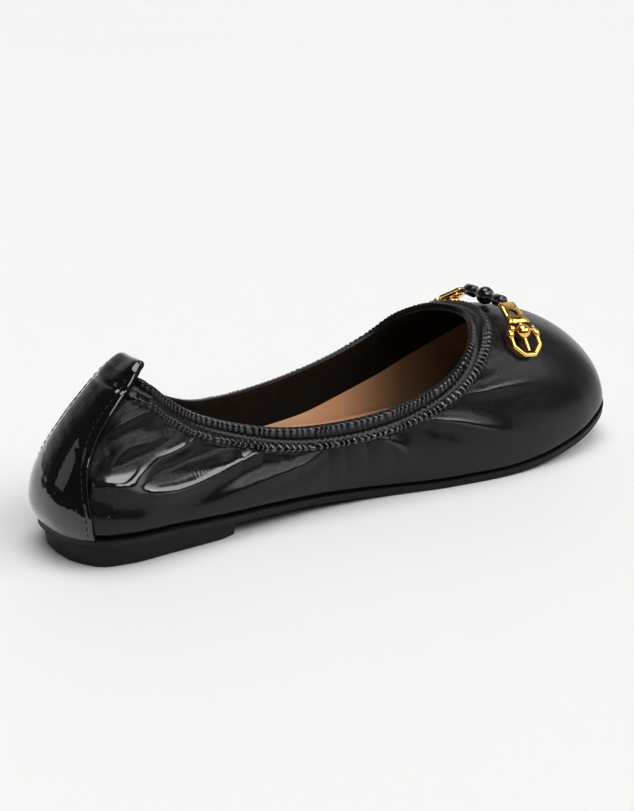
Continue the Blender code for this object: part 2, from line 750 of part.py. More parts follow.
def build_arm(name, frame, gold, collection, cutters):
    """Plate, ball and link of one side."""
    half = PLATE_THICKNESS / 2
    wide = PLATE_WIDE / 2
    slim = PLATE_NARROW / 2
    plan = ((CLEARANCE, -slim), (PLATE_LENGTH, -wide), (PLATE_LENGTH, wide), (CLEARANCE, slim))
    points = [(x, y, z) for z in (-half, half) for y, x in plan]
    faces = [(0, 1, 2, 3), (7, 6, 5, 4), (0, 4, 5, 1), (1, 5, 6, 2), (2, 6, 7, 3), (3, 7, 4, 0)]
    plate = new_object("bit_plate_" + name, set_in(points, frame, "plate"), faces, gold, collection)
    radius = PLATE_HOLE / 2
    deep = PLATE_THICKNESS
    points, faces = turned([(-deep, 0), (-deep, radius), (deep, radius), (deep, 0)], HOLE_SEGMENTS)
    points = points[:, [0, 2, 1]] + (0, PLATE_LENGTH * HOLE_AT, 0)
    cutter = new_object("bit_hole_" + name, set_in(points, frame, "plate"), faces, None, cutters)
    cutter.hide_render = True
    cutter.display_type = "WIRE"
    hole = plate.modifiers.new("hole", "BOOLEAN")
    hole.operation = "DIFFERENCE"
    hole.solver = "EXACT"
    hole.object = cutter
    start = PLATE_LENGTH + CLEARANCE
    stop = start + LINK_LENGTH * LINK_ROWS[len(LINK_ROWS) // 2][0] + LINK_BEAD - LINK_WIRE - CLEARANCE * 2
    profile = [(start, 0), (start, LINK_WIRE)]
    profile += round_rows(start + BALL_RADIUS + CLEARANCE, BALL_RADIUS, BALL_STEPS, BALL_ANGLE)
    profile += [(stop, LINK_WIRE), (stop, 0)]
    points, faces = turned(profile, BALL_SEGMENTS)
    new_object("bit_ball_" + name, set_in(points, frame, "link"), faces, gold, collection)
    section = link_points()
    section[..., 1] += start + LINK_BEAD
    count, segments = section.shape[:2]
    faces = [tuple(range(segments)), tuple(range(count * segments - 1, (count - 1) * segments - 1, -1))]
    for c in range(count - 1):
        for i in range(segments):
            j = (i + 1) % segments
            d = c * segments
            faces.append((d + i, d + j, d + segments + j, d + segments + i))
    new_object("bit_link_" + name, set_in(section, frame, "link"), faces, gold, collection)


def centre_all(collections):
    """Moves every mesh so that the origin is on the floor at the middle of the whole shoe's box."""
    objects = [o for c in collections for o in c.objects]
    shown = [o for o in collections[0].objects]
    corners = np.concatenate([np.array([v.co for v in o.data.vertices]) for o in shown])
    low = corners.min(0)
    high = corners.max(0)
    shift = (-(low[0] + high[0]) / 2, -(low[1] + high[1]) / 2, -low[2])
    for obj in objects:
        for vertex in obj.data.vertices:
            vertex.co.x += shift[0]
            vertex.co.y += shift[1]
            vertex.co.z += shift[2]


def main():
    for obj in list(bpy.data.objects):
        bpy.data.objects.remove(obj, do_unlink=True)
    shoe = bpy.data.collections.new(COLLECTION_NAME)
    cutters = bpy.data.collections.new(HELPERS_NAME)
    for collection in (shoe, cutters):
        bpy.context.scene.collection.children.link(collection)
    leather = new_material("black_leather", (0.012, 0.012, 0.013), 0.38)
    patent = new_material("black_patent", (0.008, 0.008, 0.009), 0.06, coat=1.0)
    rubber = new_material("black_rubber", (0.018, 0.018, 0.019), 0.6)
    tan = new_material("tan_leather", (0.62, 0.36, 0.20), 0.55)
    gold = new_material("gold_metal", (0.95, 0.66, 0.25), 0.22, metallic=1.0)
    lacquer = new_material("black_lacquer", (0.010, 0.010, 0.012), 0.1, coat=1.0)
    build_outsole(rubber, shoe)
    build_heel(rubber, shoe)
    build_upper(leather, shoe)
    build_insole(tan, shoe)
    build_back_strap(patent, shoe)
    build_bit(gold, lacquer, shoe, cutters)
    centre_all((shoe, cutters))


if __name__ == "__main__":
    main()
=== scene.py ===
"""Finishes the ballet flat: gathered leather upper, elastic topline, patent back strap, thin sole and bit ornament.

The toe points to +X, the medial side to -Y and +Z is up, in metres. The curved pieces follow the rows of the
last: a row holds a point of the feather line, a point of the topline and the two handles of the rib between.
"""

import math

import bmesh
import bpy
import numpy as np
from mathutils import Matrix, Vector


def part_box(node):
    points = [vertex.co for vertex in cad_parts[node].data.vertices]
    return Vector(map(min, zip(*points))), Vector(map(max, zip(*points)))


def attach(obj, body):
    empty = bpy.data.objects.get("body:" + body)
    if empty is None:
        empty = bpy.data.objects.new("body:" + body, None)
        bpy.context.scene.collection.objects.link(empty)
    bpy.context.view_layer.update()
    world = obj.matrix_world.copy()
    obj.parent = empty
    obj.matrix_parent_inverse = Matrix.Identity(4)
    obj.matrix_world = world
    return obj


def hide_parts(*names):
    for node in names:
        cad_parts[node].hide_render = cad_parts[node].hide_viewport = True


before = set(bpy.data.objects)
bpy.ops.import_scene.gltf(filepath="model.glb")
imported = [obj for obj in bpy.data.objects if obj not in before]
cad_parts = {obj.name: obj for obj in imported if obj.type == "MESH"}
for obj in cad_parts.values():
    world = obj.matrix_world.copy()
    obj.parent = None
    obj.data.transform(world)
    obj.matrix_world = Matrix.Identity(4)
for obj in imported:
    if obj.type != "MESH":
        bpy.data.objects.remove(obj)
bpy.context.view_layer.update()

bl_info = {
    "name": "Ballet flat",
    "version": (1, 0, 0),
    "blender": (4, 5, 0),
    "location": "View3D > Sidebar > Ballet flat",
    "description": "Makes the pieces, the finishes and the stage of a black ballet flat",
    "category": "Add Mesh",
}

# Main sizes, in metres
LENGTH = 0.250
BALL_WIDTH = 0.079
INSTEP_HEIGHT = 0.0564
HEEL_HEIGHT = 0.0075
TOE_SPRING = 0.0140
CLEARANCE = 0.0003
UPPER_WALL = 0.0017
STRAP_THICKNESS = 0.0012
SOLE_THICKNESS = 0.0030
INSOLE_THICKNESS = 0.0020
CASING_WIDTH = 0.0095
CASING_PROUD = 0.0011
LIP_PROUD = 0.0014
BLOCK_INSET = 0.0010
BLOCK_TAPER = 0.0006
BREAST_AT = 0.250
INSOLE_PAD = 3.5
PAD_AT = 0.42
PAD_REACH = 0.17
TAB_RISE = 0.0075
TAB_FLAP = 0.0070
TAB_LEAN = 0.0015
BIT_AT = 0.0145
BIT_LIFT = 0.0038
BAR_LENGTH = 0.0240
BAR_RADIUS = 0.0024
BEAD_RADIUS = 0.0036
PLATE_LENGTH = 0.0115
PLATE_WIDE = 0.0105
PLATE_NARROW = 0.0070
PLATE_THICKNESS = 0.0016
PLATE_HOLE = 0.0040
BALL_RADIUS = 0.0031
LINK_LENGTH = 0.0125
LINK_WIDTH = 0.0130
LINK_WIRE = 0.0009
LINK_BEAD = 0.0015
LINK_DROOP = 0.9

# Columns of points round the last, and points across and along the strap and round a plate
UPPER_RING = 1000
CASING_RING = 2400
SOLE_RING = 720
STRAP_ACROSS = 97
STRAP_ALONG = 120
PLATE_RING = 96

# Where the last's own origin, the back of the heel's feather line on the floor, lies in the frame
PLACE = np.array([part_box("heel")[1][0] - BREAST_AT * LENGTH, -0.00044, 0.0])
MM = 0.001

# Rows of the last from the back of the heel to the toe, as shares of LENGTH, BALL_WIDTH and INSTEP_HEIGHT
LAST_COLUMNS = ("foot_along", "foot_half", "swing", "top_along", "top_half", "top_swing", "top_height",
                "rise", "out", "drop", "lean")
LAST_ROWS = (
    (0.008, 0.000, -0.063, 0.120, 0.000, -0.063, 1.090, 0.183, 0.151, 0.307, 0.372),
    (0.015, 0.152, -0.063, 0.124, 0.095, -0.063, 1.090, 0.183, 0.142, 0.301, 0.319),
    (0.036, 0.257, -0.063, 0.138, 0.139, -0.063, 1.060, 0.186, 0.115, 0.301, 0.213),
    (0.080, 0.311, -0.061, 0.164, 0.148, -0.059, 0.950, 0.186, 0.089, 0.248, 0.151),
    (0.144, 0.323, -0.054, 0.204, 0.157, -0.049, 0.816, 0.177, 0.071, 0.213, 0.124),
    (0.224, 0.329, -0.046, 0.260, 0.177, -0.038, 0.695, 0.168, 0.062, 0.177, 0.115),
    (0.312, 0.329, -0.028, 0.332, 0.258, -0.025, 0.613, 0.160, 0.057, 0.151, 0.089),
    (0.416, 0.337, -0.006, 0.416, 0.322, -0.010, 0.582, 0.151, 0.053, 0.151, 0.071),
    (0.520, 0.387, 0.013, 0.504, 0.363, 0.003, 0.596, 0.160, 0.053, 0.151, 0.071),
    (0.620, 0.461, 0.015, 0.580, 0.372, 0.008, 0.656, 0.177, 0.050, 0.160, 0.098),
    (0.720, 0.497, 0.008, 0.640, 0.352, 0.008, 0.755, 0.213, 0.039, 0.151, 0.160),
    (0.820, 0.476, -0.008, 0.684, 0.287, 0.005, 0.897, 0.248, 0.035, 0.098, 0.284),
    (0.902, 0.395, -0.028, 0.712, 0.171, 0.003, 0.979, 0.266, 0.035, 0.035, 0.426),
    (0.960, 0.258, -0.046, 0.724, 0.080, 0.000, 0.996, 0.284, 0.039, -0.027, 0.567),
    (0.992, 0.000, -0.056, 0.727, 0.000, 0.000, 1.000, 0.293, 0.046, -0.053, 0.638),
)
LAST_ROW = len(LAST_ROWS) - 1

# The sole from heel to toe: under as a share of HEEL_HEIGHT, spring of TOE_SPRING, thick of SOLE_THICKNESS
SOLE_COLUMNS = ("along", "under", "spring", "thick")
SOLE_ROWS = (
    (0.000, 1.00, 0.00, 1.26),
    (0.120, 0.93, 0.00, 1.20),
    (0.250, 0.75, 0.00, 1.06),
    (0.360, 0.53, 0.00, 1.00),
    (0.470, 0.22, 0.00, 0.97),
    (0.560, 0.02, 0.00, 0.95),
    (0.600, 0.00, 0.00, 0.95),
    (0.660, 0.00, 0.00, 0.95),
    (0.730, 0.00, 0.01, 0.95),
    (0.820, 0.00, 0.20, 0.95),
    (0.910, 0.00, 0.55, 0.95),
    (1.000, 0.00, 1.00, 0.95),
)

# Edge of the outsole from its underside up: share of the thickness, share of the lip's width
EDGE_COLUMNS = ("high", "lip")
EDGE_ROWS = (
    (0.00, 0.10),
    (0.03, 0.50),
    (0.12, 0.60),
    (0.30, 0.55),
    (0.52, 0.66),
    (0.74, 0.95),
    (0.84, 1.02),
    (0.92, 0.98),
    (0.98, 0.80),
    (1.00, 0.40),
)

# Side of the heel block from the floor up: share of its height, inset as a share of BLOCK_TAPER
BLOCK_COLUMNS = ("high", "inset")
BLOCK_ROWS = (
    (0.00, 2.30),
    (0.02, 1.70),
    (0.06, 1.20),
    (0.14, 1.00),
    (0.92, 0.10),
    (0.98, 0.05),
    (1.00, 0.40),
)

# Outer profile of the casing down from the topline: shares of CASING_WIDTH and of CASING_PROUD
CASING_COLUMNS = ("down", "proud")
CASING_ROWS = (
    (0.00, 0.05),
    (0.04, 0.75),
    (0.09, 1.00),
    (0.16, 0.80),
    (0.28, 0.34),
    (0.46, 0.26),
    (0.62, 0.42),
    (0.72, 0.90),
    (0.79, 1.05),
    (0.86, 0.80),
    (0.93, 0.05),
    (0.98, -0.30),
    (1.03, -0.40),
)

# Elastic topline along the last's rows: pitch of its puckers and their height in mm, strength of the gathers
# that it draws into the leather below, and how far those run down in mm
ELASTIC_COLUMNS = ("row", "pitch", "pucker", "gather", "reach")
ELASTIC_ROWS = (
    (0.0, 1.3, 0.06, 0.05, 4.0),
    (1.5, 1.4, 0.12, 0.20, 5.0),
    (3.0, 1.7, 0.24, 0.40, 6.0),
    (5.0, 2.3, 0.42, 0.70, 7.0),
    (6.5, 2.4, 0.50, 0.90, 9.0),
    (7.6, 2.4, 0.50, 1.10, 12.0),
    (9.0, 2.1, 0.42, 1.00, 11.0),
    (10.5, 1.8, 0.32, 0.50, 7.0),
    (12.0, 1.6, 0.24, 0.25, 4.0),
    (14.0, 1.4, 0.12, 0.15, 3.0),
)

# Creases of the leather, point by point along each: its number, side (-1 medial, 1 lateral), row and share of the
# rib, height in mm and half width in mm of the ridge
CREASE_COLUMNS = ("crease", "side", "row", "share", "high", "wide")
CREASE_ROWS = (
    (1, -1, 1.02, 0.30, 0.29, 2.6), (1, -1, 1.40, 0.32, 1.51, 2.9), (1, -1, 1.74, 0.34, 2.22, 3.3),
    (1, -1, 2.12, 0.37, 2.42, 4.4), (1, -1, 2.48, 0.47, 2.13, 3.4), (1, -1, 3.26, 0.60, 1.92, 3.3),
    (1, -1, 3.80, 0.70, 1.41, 2.9), (1, -1, 4.15, 0.78, 0.40, 2.2),
    (2, -1, 1.90, 0.34, 0.54, 3.4), (2, -1, 2.40, 0.33, 2.00, 3.4), (2, -1, 3.38, 0.32, 2.45, 3.5),
    (2, -1, 4.05, 0.35, 2.28, 3.5), (2, -1, 4.85, 0.48, 1.92, 3.2), (2, -1, 5.40, 0.63, 1.46, 2.8),
    (2, -1, 5.85, 0.75, 0.37, 2.2),
    (3, -1, 1.15, 0.40, 0.21, 2.2), (3, -1, 1.60, 0.48, 0.95, 2.4), (3, -1, 2.06, 0.60, 1.08, 2.5),
    (3, -1, 3.04, 0.72, 0.74, 2.2), (3, -1, 3.60, 0.80, 0.07, 2.2),
    (4, -1, 1.02, 0.60, 0.25, 1.5), (4, -1, 1.40, 0.71, 0.83, 1.6), (4, -1, 2.10, 0.82, 0.51, 1.4),
    (5, -1, 2.40, 0.42, 0.17, 2.0), (5, -1, 3.34, 0.44, 0.76, 2.2), (5, -1, 4.57, 0.54, 0.67, 2.0),
    (5, -1, 5.20, 0.64, 0.08, 1.6),
    (6, -1, 7.60, 0.80, 0.30, 1.6), (6, -1, 8.10, 0.60, 1.00, 2.4), (6, -1, 8.30, 0.40, 0.60, 3.0),
    (6, -1, 8.40, 0.22, 0.10, 3.2),
    (7, -1, 8.60, 0.80, 0.40, 1.6), (7, -1, 9.30, 0.64, 1.20, 2.2), (7, -1, 9.90, 0.42, 0.80, 2.8),
    (7, -1, 10.20, 0.24, 0.10, 3.2),
    (12, -1, 9.80, 0.82, 0.40, 1.6), (12, -1, 10.40, 0.70, 1.00, 2.2), (12, -1, 11.00, 0.56, 0.60, 2.8),
    (12, -1, 11.40, 0.44, 0.10, 3.2),
    (13, -1, 2.10, 0.11, 0.03, 2.6), (13, -1, 3.00, 0.13, 0.10, 3.0), (13, -1, 4.40, 0.15, 0.12, 3.0),
    (13, -1, 5.80, 0.24, 0.03, 3.0),
    (14, -1, 4.60, 0.22, 0.10, 2.4), (14, -1, 5.60, 0.34, 0.70, 2.4), (14, -1, 6.40, 0.50, 0.90, 2.0),
    (14, -1, 6.80, 0.66, 0.40, 1.6),
    (8, 1, 1.10, 0.33, 0.21, 2.7), (8, 1, 1.70, 0.36, 1.61, 3.0), (8, 1, 2.60, 0.42, 2.21, 3.2),
    (8, 1, 3.60, 0.50, 1.90, 3.0), (8, 1, 4.60, 0.64, 1.41, 2.7), (8, 1, 5.20, 0.76, 0.29, 2.2),
    (9, 1, 2.30, 0.30, 0.20, 3.0), (9, 1, 3.20, 0.29, 1.88, 3.2), (9, 1, 4.40, 0.34, 2.28, 3.2),
    (9, 1, 5.40, 0.47, 1.88, 2.9), (9, 1, 6.20, 0.64, 1.09, 2.5), (9, 1, 6.60, 0.76, 0.20, 2.0),
    (10, 1, 1.40, 0.60, 0.18, 2.4), (10, 1, 2.20, 0.68, 0.90, 2.8), (10, 1, 3.20, 0.78, 0.27, 2.2),
    (11, 1, 8.00, 0.80, 0.30, 1.8), (11, 1, 8.60, 0.60, 1.00, 2.4), (11, 1, 9.00, 0.36, 0.40, 3.2),
    (15, 1, 9.40, 0.80, 0.30, 1.8), (15, 1, 10.00, 0.62, 0.90, 2.4), (15, 1, 10.60, 0.40, 0.20, 3.2),
)

# Creases whose lower side is steeper, like a ledge, and its width as a share of the upper side's
LEDGES = (1, 2, 3, 8, 9, 10)
LEDGE_STRETCH = 0.85

# Depth of the trough beside a crease, as a share of its height, above and below it
TROUGH_ABOVE = 0.38
TROUGH_BELOW = 0.22

# Border between the dark quarter lining and the tan vamp lining: row of the last, share of the rib
LINING_COLUMNS = ("row", "share")
LINING_ROWS = (
    (5.7, -0.30),
    (6.0, 0.25),
    (6.4, 0.31),
    (7.3, 0.33),
    (8.0, 0.34),
    (9.1, 0.39),
    (10.1, 0.44),
    (11.0, 0.47),
    (12.0, 0.53),
    (14.0, 0.58),
)

# Edge of the back strap on its way up the heel: share of the rib, row of the last
STRAP_COLUMNS = ("up", "edge")
STRAP_ROWS = (
    (0.00, 1.96),
    (0.12, 1.80),
    (0.25, 1.45),
    (0.40, 1.12),
    (0.55, 0.98),
    (0.70, 0.98),
    (0.85, 1.08),
    (1.00, 1.30),
)

# Half of the ornament's bar from its end to its middle bead: shares of half of BAR_LENGTH and of BAR_RADIUS
BAR_COLUMNS = ("along", "thick")
BAR_ROWS = (
    (1.00, 0.00), (1.00, 0.62), (0.98, 0.70), (0.955, 0.74), (0.94, 0.92), (0.915, 1.00), (0.56, 1.00), (0.535, 0.92),
    (0.52, 0.74), (0.49, 0.70), (0.30, 0.70),
)

# Section of the insole from its middle underneath round its edge to the top: how far in from the wall in mm, and
# share of INSOLE_THICKNESS
INSOLE_COLUMNS = ("inset", "high")
INSOLE_ROWS = (
    (0.0, 0.00), (0.0, 0.50), (0.15, 0.80), (0.5, 0.97), (1.1, 1.00), (4.0, 0.98), (9.0, 0.93), (14.0, 0.90),
)

# Stitches of the casing and of the back strap: length, gap and radius of the thread in mm
TOPLINE_STITCH = (1.7, 0.7, 0.17)
STRAP_STITCH = (1.9, 0.8, 0.20)
STRAP_SEAM_IN = 2.0

# Studio suns: strength, width of the disc in degrees and the direction that the light comes from
SUN_ROWS = (
    ("key", 0.82, 32, (-0.25, -0.64, 0.73)),
    ("middle", 0.78, 32, (0.27, -0.70, 0.66)),
    ("fill", 0.70, 32, (0.70, -0.49, 0.52)),
    ("top", 1.42, 42, (0.02, 0.05, 1.00)),
)
FLOOR_HALF = 14.0
FLOOR_DROP = 0.0001
CAMERA_AT = (-0.2454, -0.5263, 0.2581)
CAMERA_AIM = (-0.004, 0.004, 0.028)

# Corners of an end link: shares of LINK_LENGTH out from the plate and of LINK_WIDTH across
LINK_COLUMNS = ("out", "across")
LINK_ROWS = (
    (0.00, -0.36),
    (0.20, -0.50),
    (0.62, -0.50),
    (0.92, -0.20),
    (0.92, 0.20),
    (0.62, 0.50),
    (0.20, 0.50),
    (0.00, 0.36),
)


# ---- shapes of the last ----


def column(names, rows, name):
    """One named column of a table, as an array."""
    return np.array([row[names.index(name)] for row in rows], float)


def smooth(at, values, where):
    """Cubic Hermite curve through the values, each slope the mean of its neighbours' rates."""
    at = np.asarray(at, float)
    values = np.asarray(values, float)
    step = np.diff(at)
    rate = np.diff(values) / step
    slope = np.empty_like(values)
    slope[1:-1] = (rate[:-1] * step[1:] + rate[1:] * step[:-1]) / (step[1:] + step[:-1])
    slope[0] = rate[0]
    slope[-1] = rate[-1]
    where = np.clip(where, at[0], at[-1])
    i = np.clip(np.searchsorted(at, where, side="right") - 1, 0, len(step) - 1)
    h = step[i]
    t = (where - at[i]) / h
    return (values[i] * (1 + 2 * t) * (1 - t) ** 2 + slope[i] * h * t * (1 - t) ** 2
            + values[i + 1] * t * t * (3 - 2 * t) - slope[i + 1] * h * t * t * (1 - t))


def curve(names, rows, name, where):
    """A named column of a table as a smooth curve over the table's first column."""
    return smooth(column(names, rows, names[0]), column(names, rows, name), where)


def ease(value, low, high):
    """0 below low, 1 above high, with a soft S between them."""
    t = np.clip((value - low) / (high - low), 0, 1)
    return t * t * (3 - 2 * t)


def last_column(name, mirrored):
    """A column of the last, carried past both ends by its mirrored rows."""
    values = column(LAST_COLUMNS, LAST_ROWS, name)
    before = values[3:0:-1]
    after = values[-2:-5:-1]
    if mirrored:
        before = -before
        after = -after
    return np.concatenate([before, values, after])


def last_knots():
    """Length run past each row along feather line and topline together, 0 at the heel's back."""
    foot = np.stack([last_column("foot_along", False) * LENGTH, last_column("foot_half", True) * BALL_WIDTH], 1)
    top = np.stack([last_column("top_along", False) * LENGTH, last_column("top_half", True) * BALL_WIDTH,
                    last_column("top_height", False) * INSTEP_HEIGHT], 1)
    way = np.linalg.norm(np.diff(foot, axis=0), axis=1) + np.linalg.norm(np.diff(top, axis=0), axis=1)
    knots = np.concatenate([[0.0], np.cumsum(way)])
    return knots - knots[3]


KNOTS = last_knots()


def last_at(row, name, mirrored=False):
    """A column of the last at any row number."""
    where = np.interp(row, np.arange(len(KNOTS)) - 3.0, KNOTS)
    return smooth(KNOTS, last_column(name, mirrored), where)


def sole_under(x):
    """Height of the sole's underside at x on the last."""
    along = column(SOLE_COLUMNS, SOLE_ROWS, "along")
    under = column(SOLE_COLUMNS, SOLE_ROWS, "under") * HEEL_HEIGHT
    spring = column(SOLE_COLUMNS, SOLE_ROWS, "spring") * TOE_SPRING
    return np.maximum(smooth(along, under + spring, x / LENGTH), 0.0)


def sole_thick(x):
    """Thickness of the sole at x on the last."""
    thick = column(SOLE_COLUMNS, SOLE_ROWS, "thick") * SOLE_THICKNESS
    return smooth(column(SOLE_COLUMNS, SOLE_ROWS, "along"), thick, x / LENGTH)


def sole_top(x):
    """Height of the sole's upper face at x on the last."""
    return sole_under(x) + sole_thick(x)


def plan_point(row, side, along, swing, half):
    """Point of a line of the last on plan, and its outward direction, a right angle off the way ahead."""

    def plain(r):
        """Point of the line at a row."""
        return np.stack([last_at(r, along) * LENGTH,
                         (last_at(r, swing) + side * last_at(r, half, True)) * BALL_WIDTH], -1)

    ahead = plain(row + 0.02) - plain(row - 0.02)
    out = np.stack([ahead[..., 1], -ahead[..., 0]], -1) * -np.asarray(side)[..., None]
    return plain(row), out / np.linalg.norm(out, axis=-1, keepdims=True)


def foot_point(row, side):
    """Point of the feather line on plan, and its outward direction."""
    return plan_point(row, side, "foot_along", "swing", "foot_half")


def ribs(row, side):
    """The four control points of each rib, from the feather line up to the topline."""
    flat, foot_out = foot_point(row, side)
    start = np.concatenate([flat, (sole_top(flat[..., 0]) + CLEARANCE)[..., None]], -1)
    crest, top_out = plan_point(row, side, "top_along", "top_swing", "top_half")
    end = np.concatenate([crest, (last_at(row, "top_height") * INSTEP_HEIGHT)[..., None]], -1)
    rise, out, drop, lean = (last_at(row, name) * INSTEP_HEIGHT for name in ("rise", "out", "drop", "lean"))
    first = start + np.concatenate([foot_out * out[..., None], rise[..., None]], -1)
    last = end + np.concatenate([top_out * lean[..., None], -drop[..., None]], -1)
    return np.stack([start, first, last, end], -2)


def along_rib(points, share):
    """Cubic Bezier: (1-t)^3 a + 3t(1-t)^2 b + 3t^2(1-t) c + t^3 d, at shares (..., n)."""
    t = share[..., None]
    p = points[..., None, :, :]
    return (p[..., 0, :] * (1 - t) ** 3 + p[..., 1, :] * 3 * t * (1 - t) ** 2
            + p[..., 2, :] * 3 * t * t * (1 - t) + p[..., 3, :] * t ** 3)


def rib_runs(row, side, samples=64):
    """Length run along each rib at even shares, and the whole length."""
    t = np.broadcast_to(np.linspace(0, 1, samples), (len(row), samples))
    fine = along_rib(ribs(row, side), t)
    run = np.concatenate([np.zeros((len(row), 1)),
                          np.cumsum(np.linalg.norm(np.diff(fine, axis=1), axis=2), axis=1)], 1)
    return run, run[:, -1]


def skin(row, side, up):
    """Points and outward normals of the last at lengths up (columns, n) along each rib; up may run past the end."""
    run, length = rib_runs(row, side)
    spread = np.arange(len(row))[:, None] * run.max() * 2
    inside = np.clip(up, 0, length[:, None])
    steps = np.tile(np.linspace(0, 1, run.shape[1]), len(row))
    share = np.interp((inside + spread).ravel(), (run + spread).ravel(), steps).reshape(up.shape)
    points = along_rib(ribs(row, side), share)
    low = np.clip(share - 0.002, 0, 1)
    high = np.clip(share + 0.002, 0, 1)
    rise = along_rib(ribs(row, side), high) - along_rib(ribs(row, side), low)
    rise /= np.linalg.norm(rise, axis=2, keepdims=True)
    ahead = along_rib(ribs(row + 0.02, side), share) - along_rib(ribs(row - 0.02, side), share)
    normal = np.cross(ahead, rise) * np.asarray(side)[:, None, None] * -1.0
    normal /= np.linalg.norm(normal, axis=2, keepdims=True)
    return points + rise * (up - inside)[..., None], normal


def ring(count):
    """Row and side of each of an even count of columns, evenly spaced round the last from the heel's back."""
    half = count // 2
    way = np.linspace(0, KNOTS[-4], half + 1)
    rows = np.interp(way, KNOTS[3:-3], np.arange(LAST_ROW + 1.0))
    return (np.concatenate([rows[:-1], rows[:0:-1]]), np.concatenate([-np.ones(half), np.ones(half)]))


def topline_way(row, side):
    """Length run along the topline at each column, from the heel's back."""
    crest, _ = skin(row, side, rib_runs(row, side)[1][:, None])
    step = np.linalg.norm(np.diff(crest[:, 0], axis=0), axis=1)
    return np.concatenate([[0.0], np.cumsum(step)])


def elastic(row, name):
    """A column of the elastic topline's table at any row of the last."""
    return curve(ELASTIC_COLUMNS, ELASTIC_ROWS, name, row)


def strap_edge(up):
    """Row of the last where the back strap's edge lies, at a share of the way up."""
    return curve(STRAP_COLUMNS, STRAP_ROWS, "edge", up)


def past_strap(row, share, reach):
    """0 under the back strap, rising to 1 at reach rows beyond its edge."""
    return ease(row[:, None] - strap_edge(share), 0.02, reach)


# ---- relief of the leather ----


def wander(at, seed):
    """Slow irregular wave of about -1 to 1: three sines of unlike lengths."""
    return np.sin(at + seed) * 0.5 + np.sin(at * 2.3 + seed * 2.7) * 0.3 + np.sin(at * 4.1 + seed * 5.3) * 0.2


def crease_height(row, side, share, points):
    """Ridge exp(-(d/w)^2) along each crease, less a trough of a share of its height, exp(-((d-2.2w)/1.2w)^2).
    Below a ledge the width w is a little smaller, so that its lower side is steeper."""
    height = np.zeros(share.shape)
    number = column(CREASE_COLUMNS, CREASE_ROWS, "crease")
    for crease in np.unique(number):
        rows = [r for r in CREASE_ROWS if r[0] == crease]
        at = np.arange(len(rows), dtype=float)
        fine = np.linspace(0, len(rows) - 1, 12 * len(rows))
        line_row, line_share, high, wide = (smooth(at, column(CREASE_COLUMNS, rows, name), fine)
                                            for name in ("row", "share", "high", "wide"))
        which = np.full(len(fine), float(rows[0][1]))
        _, length = rib_runs(line_row, which)
        line, _ = skin(line_row, which, (line_share * length)[:, None])
        near = np.flatnonzero((side == rows[0][1]) & (row > line_row.min() - 1.2) & (row < line_row.max() + 1.2))
        away = np.linalg.norm(points[near][:, :, None] - line[None, None, :, 0], axis=3)
        at_line = away.argmin(2)
        d = away.min(2) / (wide[at_line] * MM)
        below = share[near] < line_share[at_line]
        stretch = np.where(below, LEDGE_STRETCH if crease in LEDGES else 1.0, 1.0)
        trough = np.where(below, TROUGH_BELOW, TROUGH_ABOVE)
        relief = np.exp(-(d / stretch) ** 2) - trough * np.exp(-((d - 2.2 * stretch) / (1.2 * stretch)) ** 2)
        height[near] += relief * high[at_line] * MM
    return height


def gather_height(row, side, down):
    """Pleats that hang from the casing: a wandering wave along the topline, dying out with the way down."""
    way = topline_way(row, side) / MM
    turn = way / 4.6 + 1.1 * wander(way / 13.0, 0.4) + 0.35 * side
    wave = np.abs(np.cos(turn * math.pi / 2)) * 2 - 1.1
    lively = 0.75 + 0.5 * wander(way / 9.0, 2.1)
    reach = elastic(row, "reach") * (0.8 + 0.45 * wander(way / 5.2, 4.0)) * MM
    fall = np.exp(-(np.maximum(down - CASING_WIDTH * 0.9, 0) / np.maximum(reach, MM)[:, None]) ** 1.3)
    return (wave * lively * elastic(row, "gather"))[:, None] * fall * 0.60 * MM


def pucker_wave(row, way, shift):
    """Round ribs with sharp valleys: 2|cos(turn/2)| - 1, where the turn grows by the pitch of each place."""
    pitch = elastic(row, "pitch") * MM
    step = np.diff(way, prepend=way[0])
    turn = np.cumsum(2 * math.pi * step / pitch) + 2.6 * wander(way / (5.1 * MM), 1.0)
    return 2 * np.abs(np.cos((turn[:, None] + shift) / 2)) - 1.05


# ---- mesh helpers ----


def quads(columns, rows, close_columns, close_rows):
    """Corner numbers of a grid's faces, for points stored column by column."""
    c = np.arange(columns if close_columns else columns - 1)[:, None]
    r = np.arange(rows if close_rows else rows - 1)[None, :]
    d = (c + 1) % columns
    s = (r + 1) % rows
    return np.stack([c * rows + r, d * rows + r, d * rows + s, c * rows + s], -1).reshape(-1, 4)


def new_piece(name, points, faces, finishes, node, values=None, flat=None, sharp=40):
    """A mesh piece at the origin that rides on the shoe: finishes is one material or (materials, face numbers),
    values are point attributes, and flat is a two-way measure of the surface kept as its UV map."""
    mesh = bpy.data.meshes.new(name)
    faces = np.asarray(faces)
    mesh.from_pydata(np.asarray(points, float).reshape(-1, 3) + PLACE, [], faces.tolist())
    materials, numbers = finishes if isinstance(finishes, tuple) else ([finishes], None)
    for material in materials:
        mesh.materials.append(material)
    if numbers is not None:
        mesh.polygons.foreach_set("material_index", np.asarray(numbers, np.int32))
    for key, value in (values or {}).items():
        layer = mesh.attributes.new(key, "FLOAT", "POINT")
        layer.data.foreach_set("value", np.asarray(value, np.float32).ravel())
    if flat is not None:
        corners = np.asarray(flat, np.float32).reshape(-1, 2)[faces.ravel()]
        mesh.uv_layers.new(name="flat").data.foreach_set("uv", corners.ravel())
    mesh.shade_smooth()
    if sharp:
        mesh.set_sharp_from_angle(angle=math.radians(sharp))
    piece = bpy.data.objects.new(name, mesh)
    bpy.context.scene.collection.objects.link(piece)
    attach(piece, "root")
    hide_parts(*([node] if isinstance(node, str) else node))
    return piece


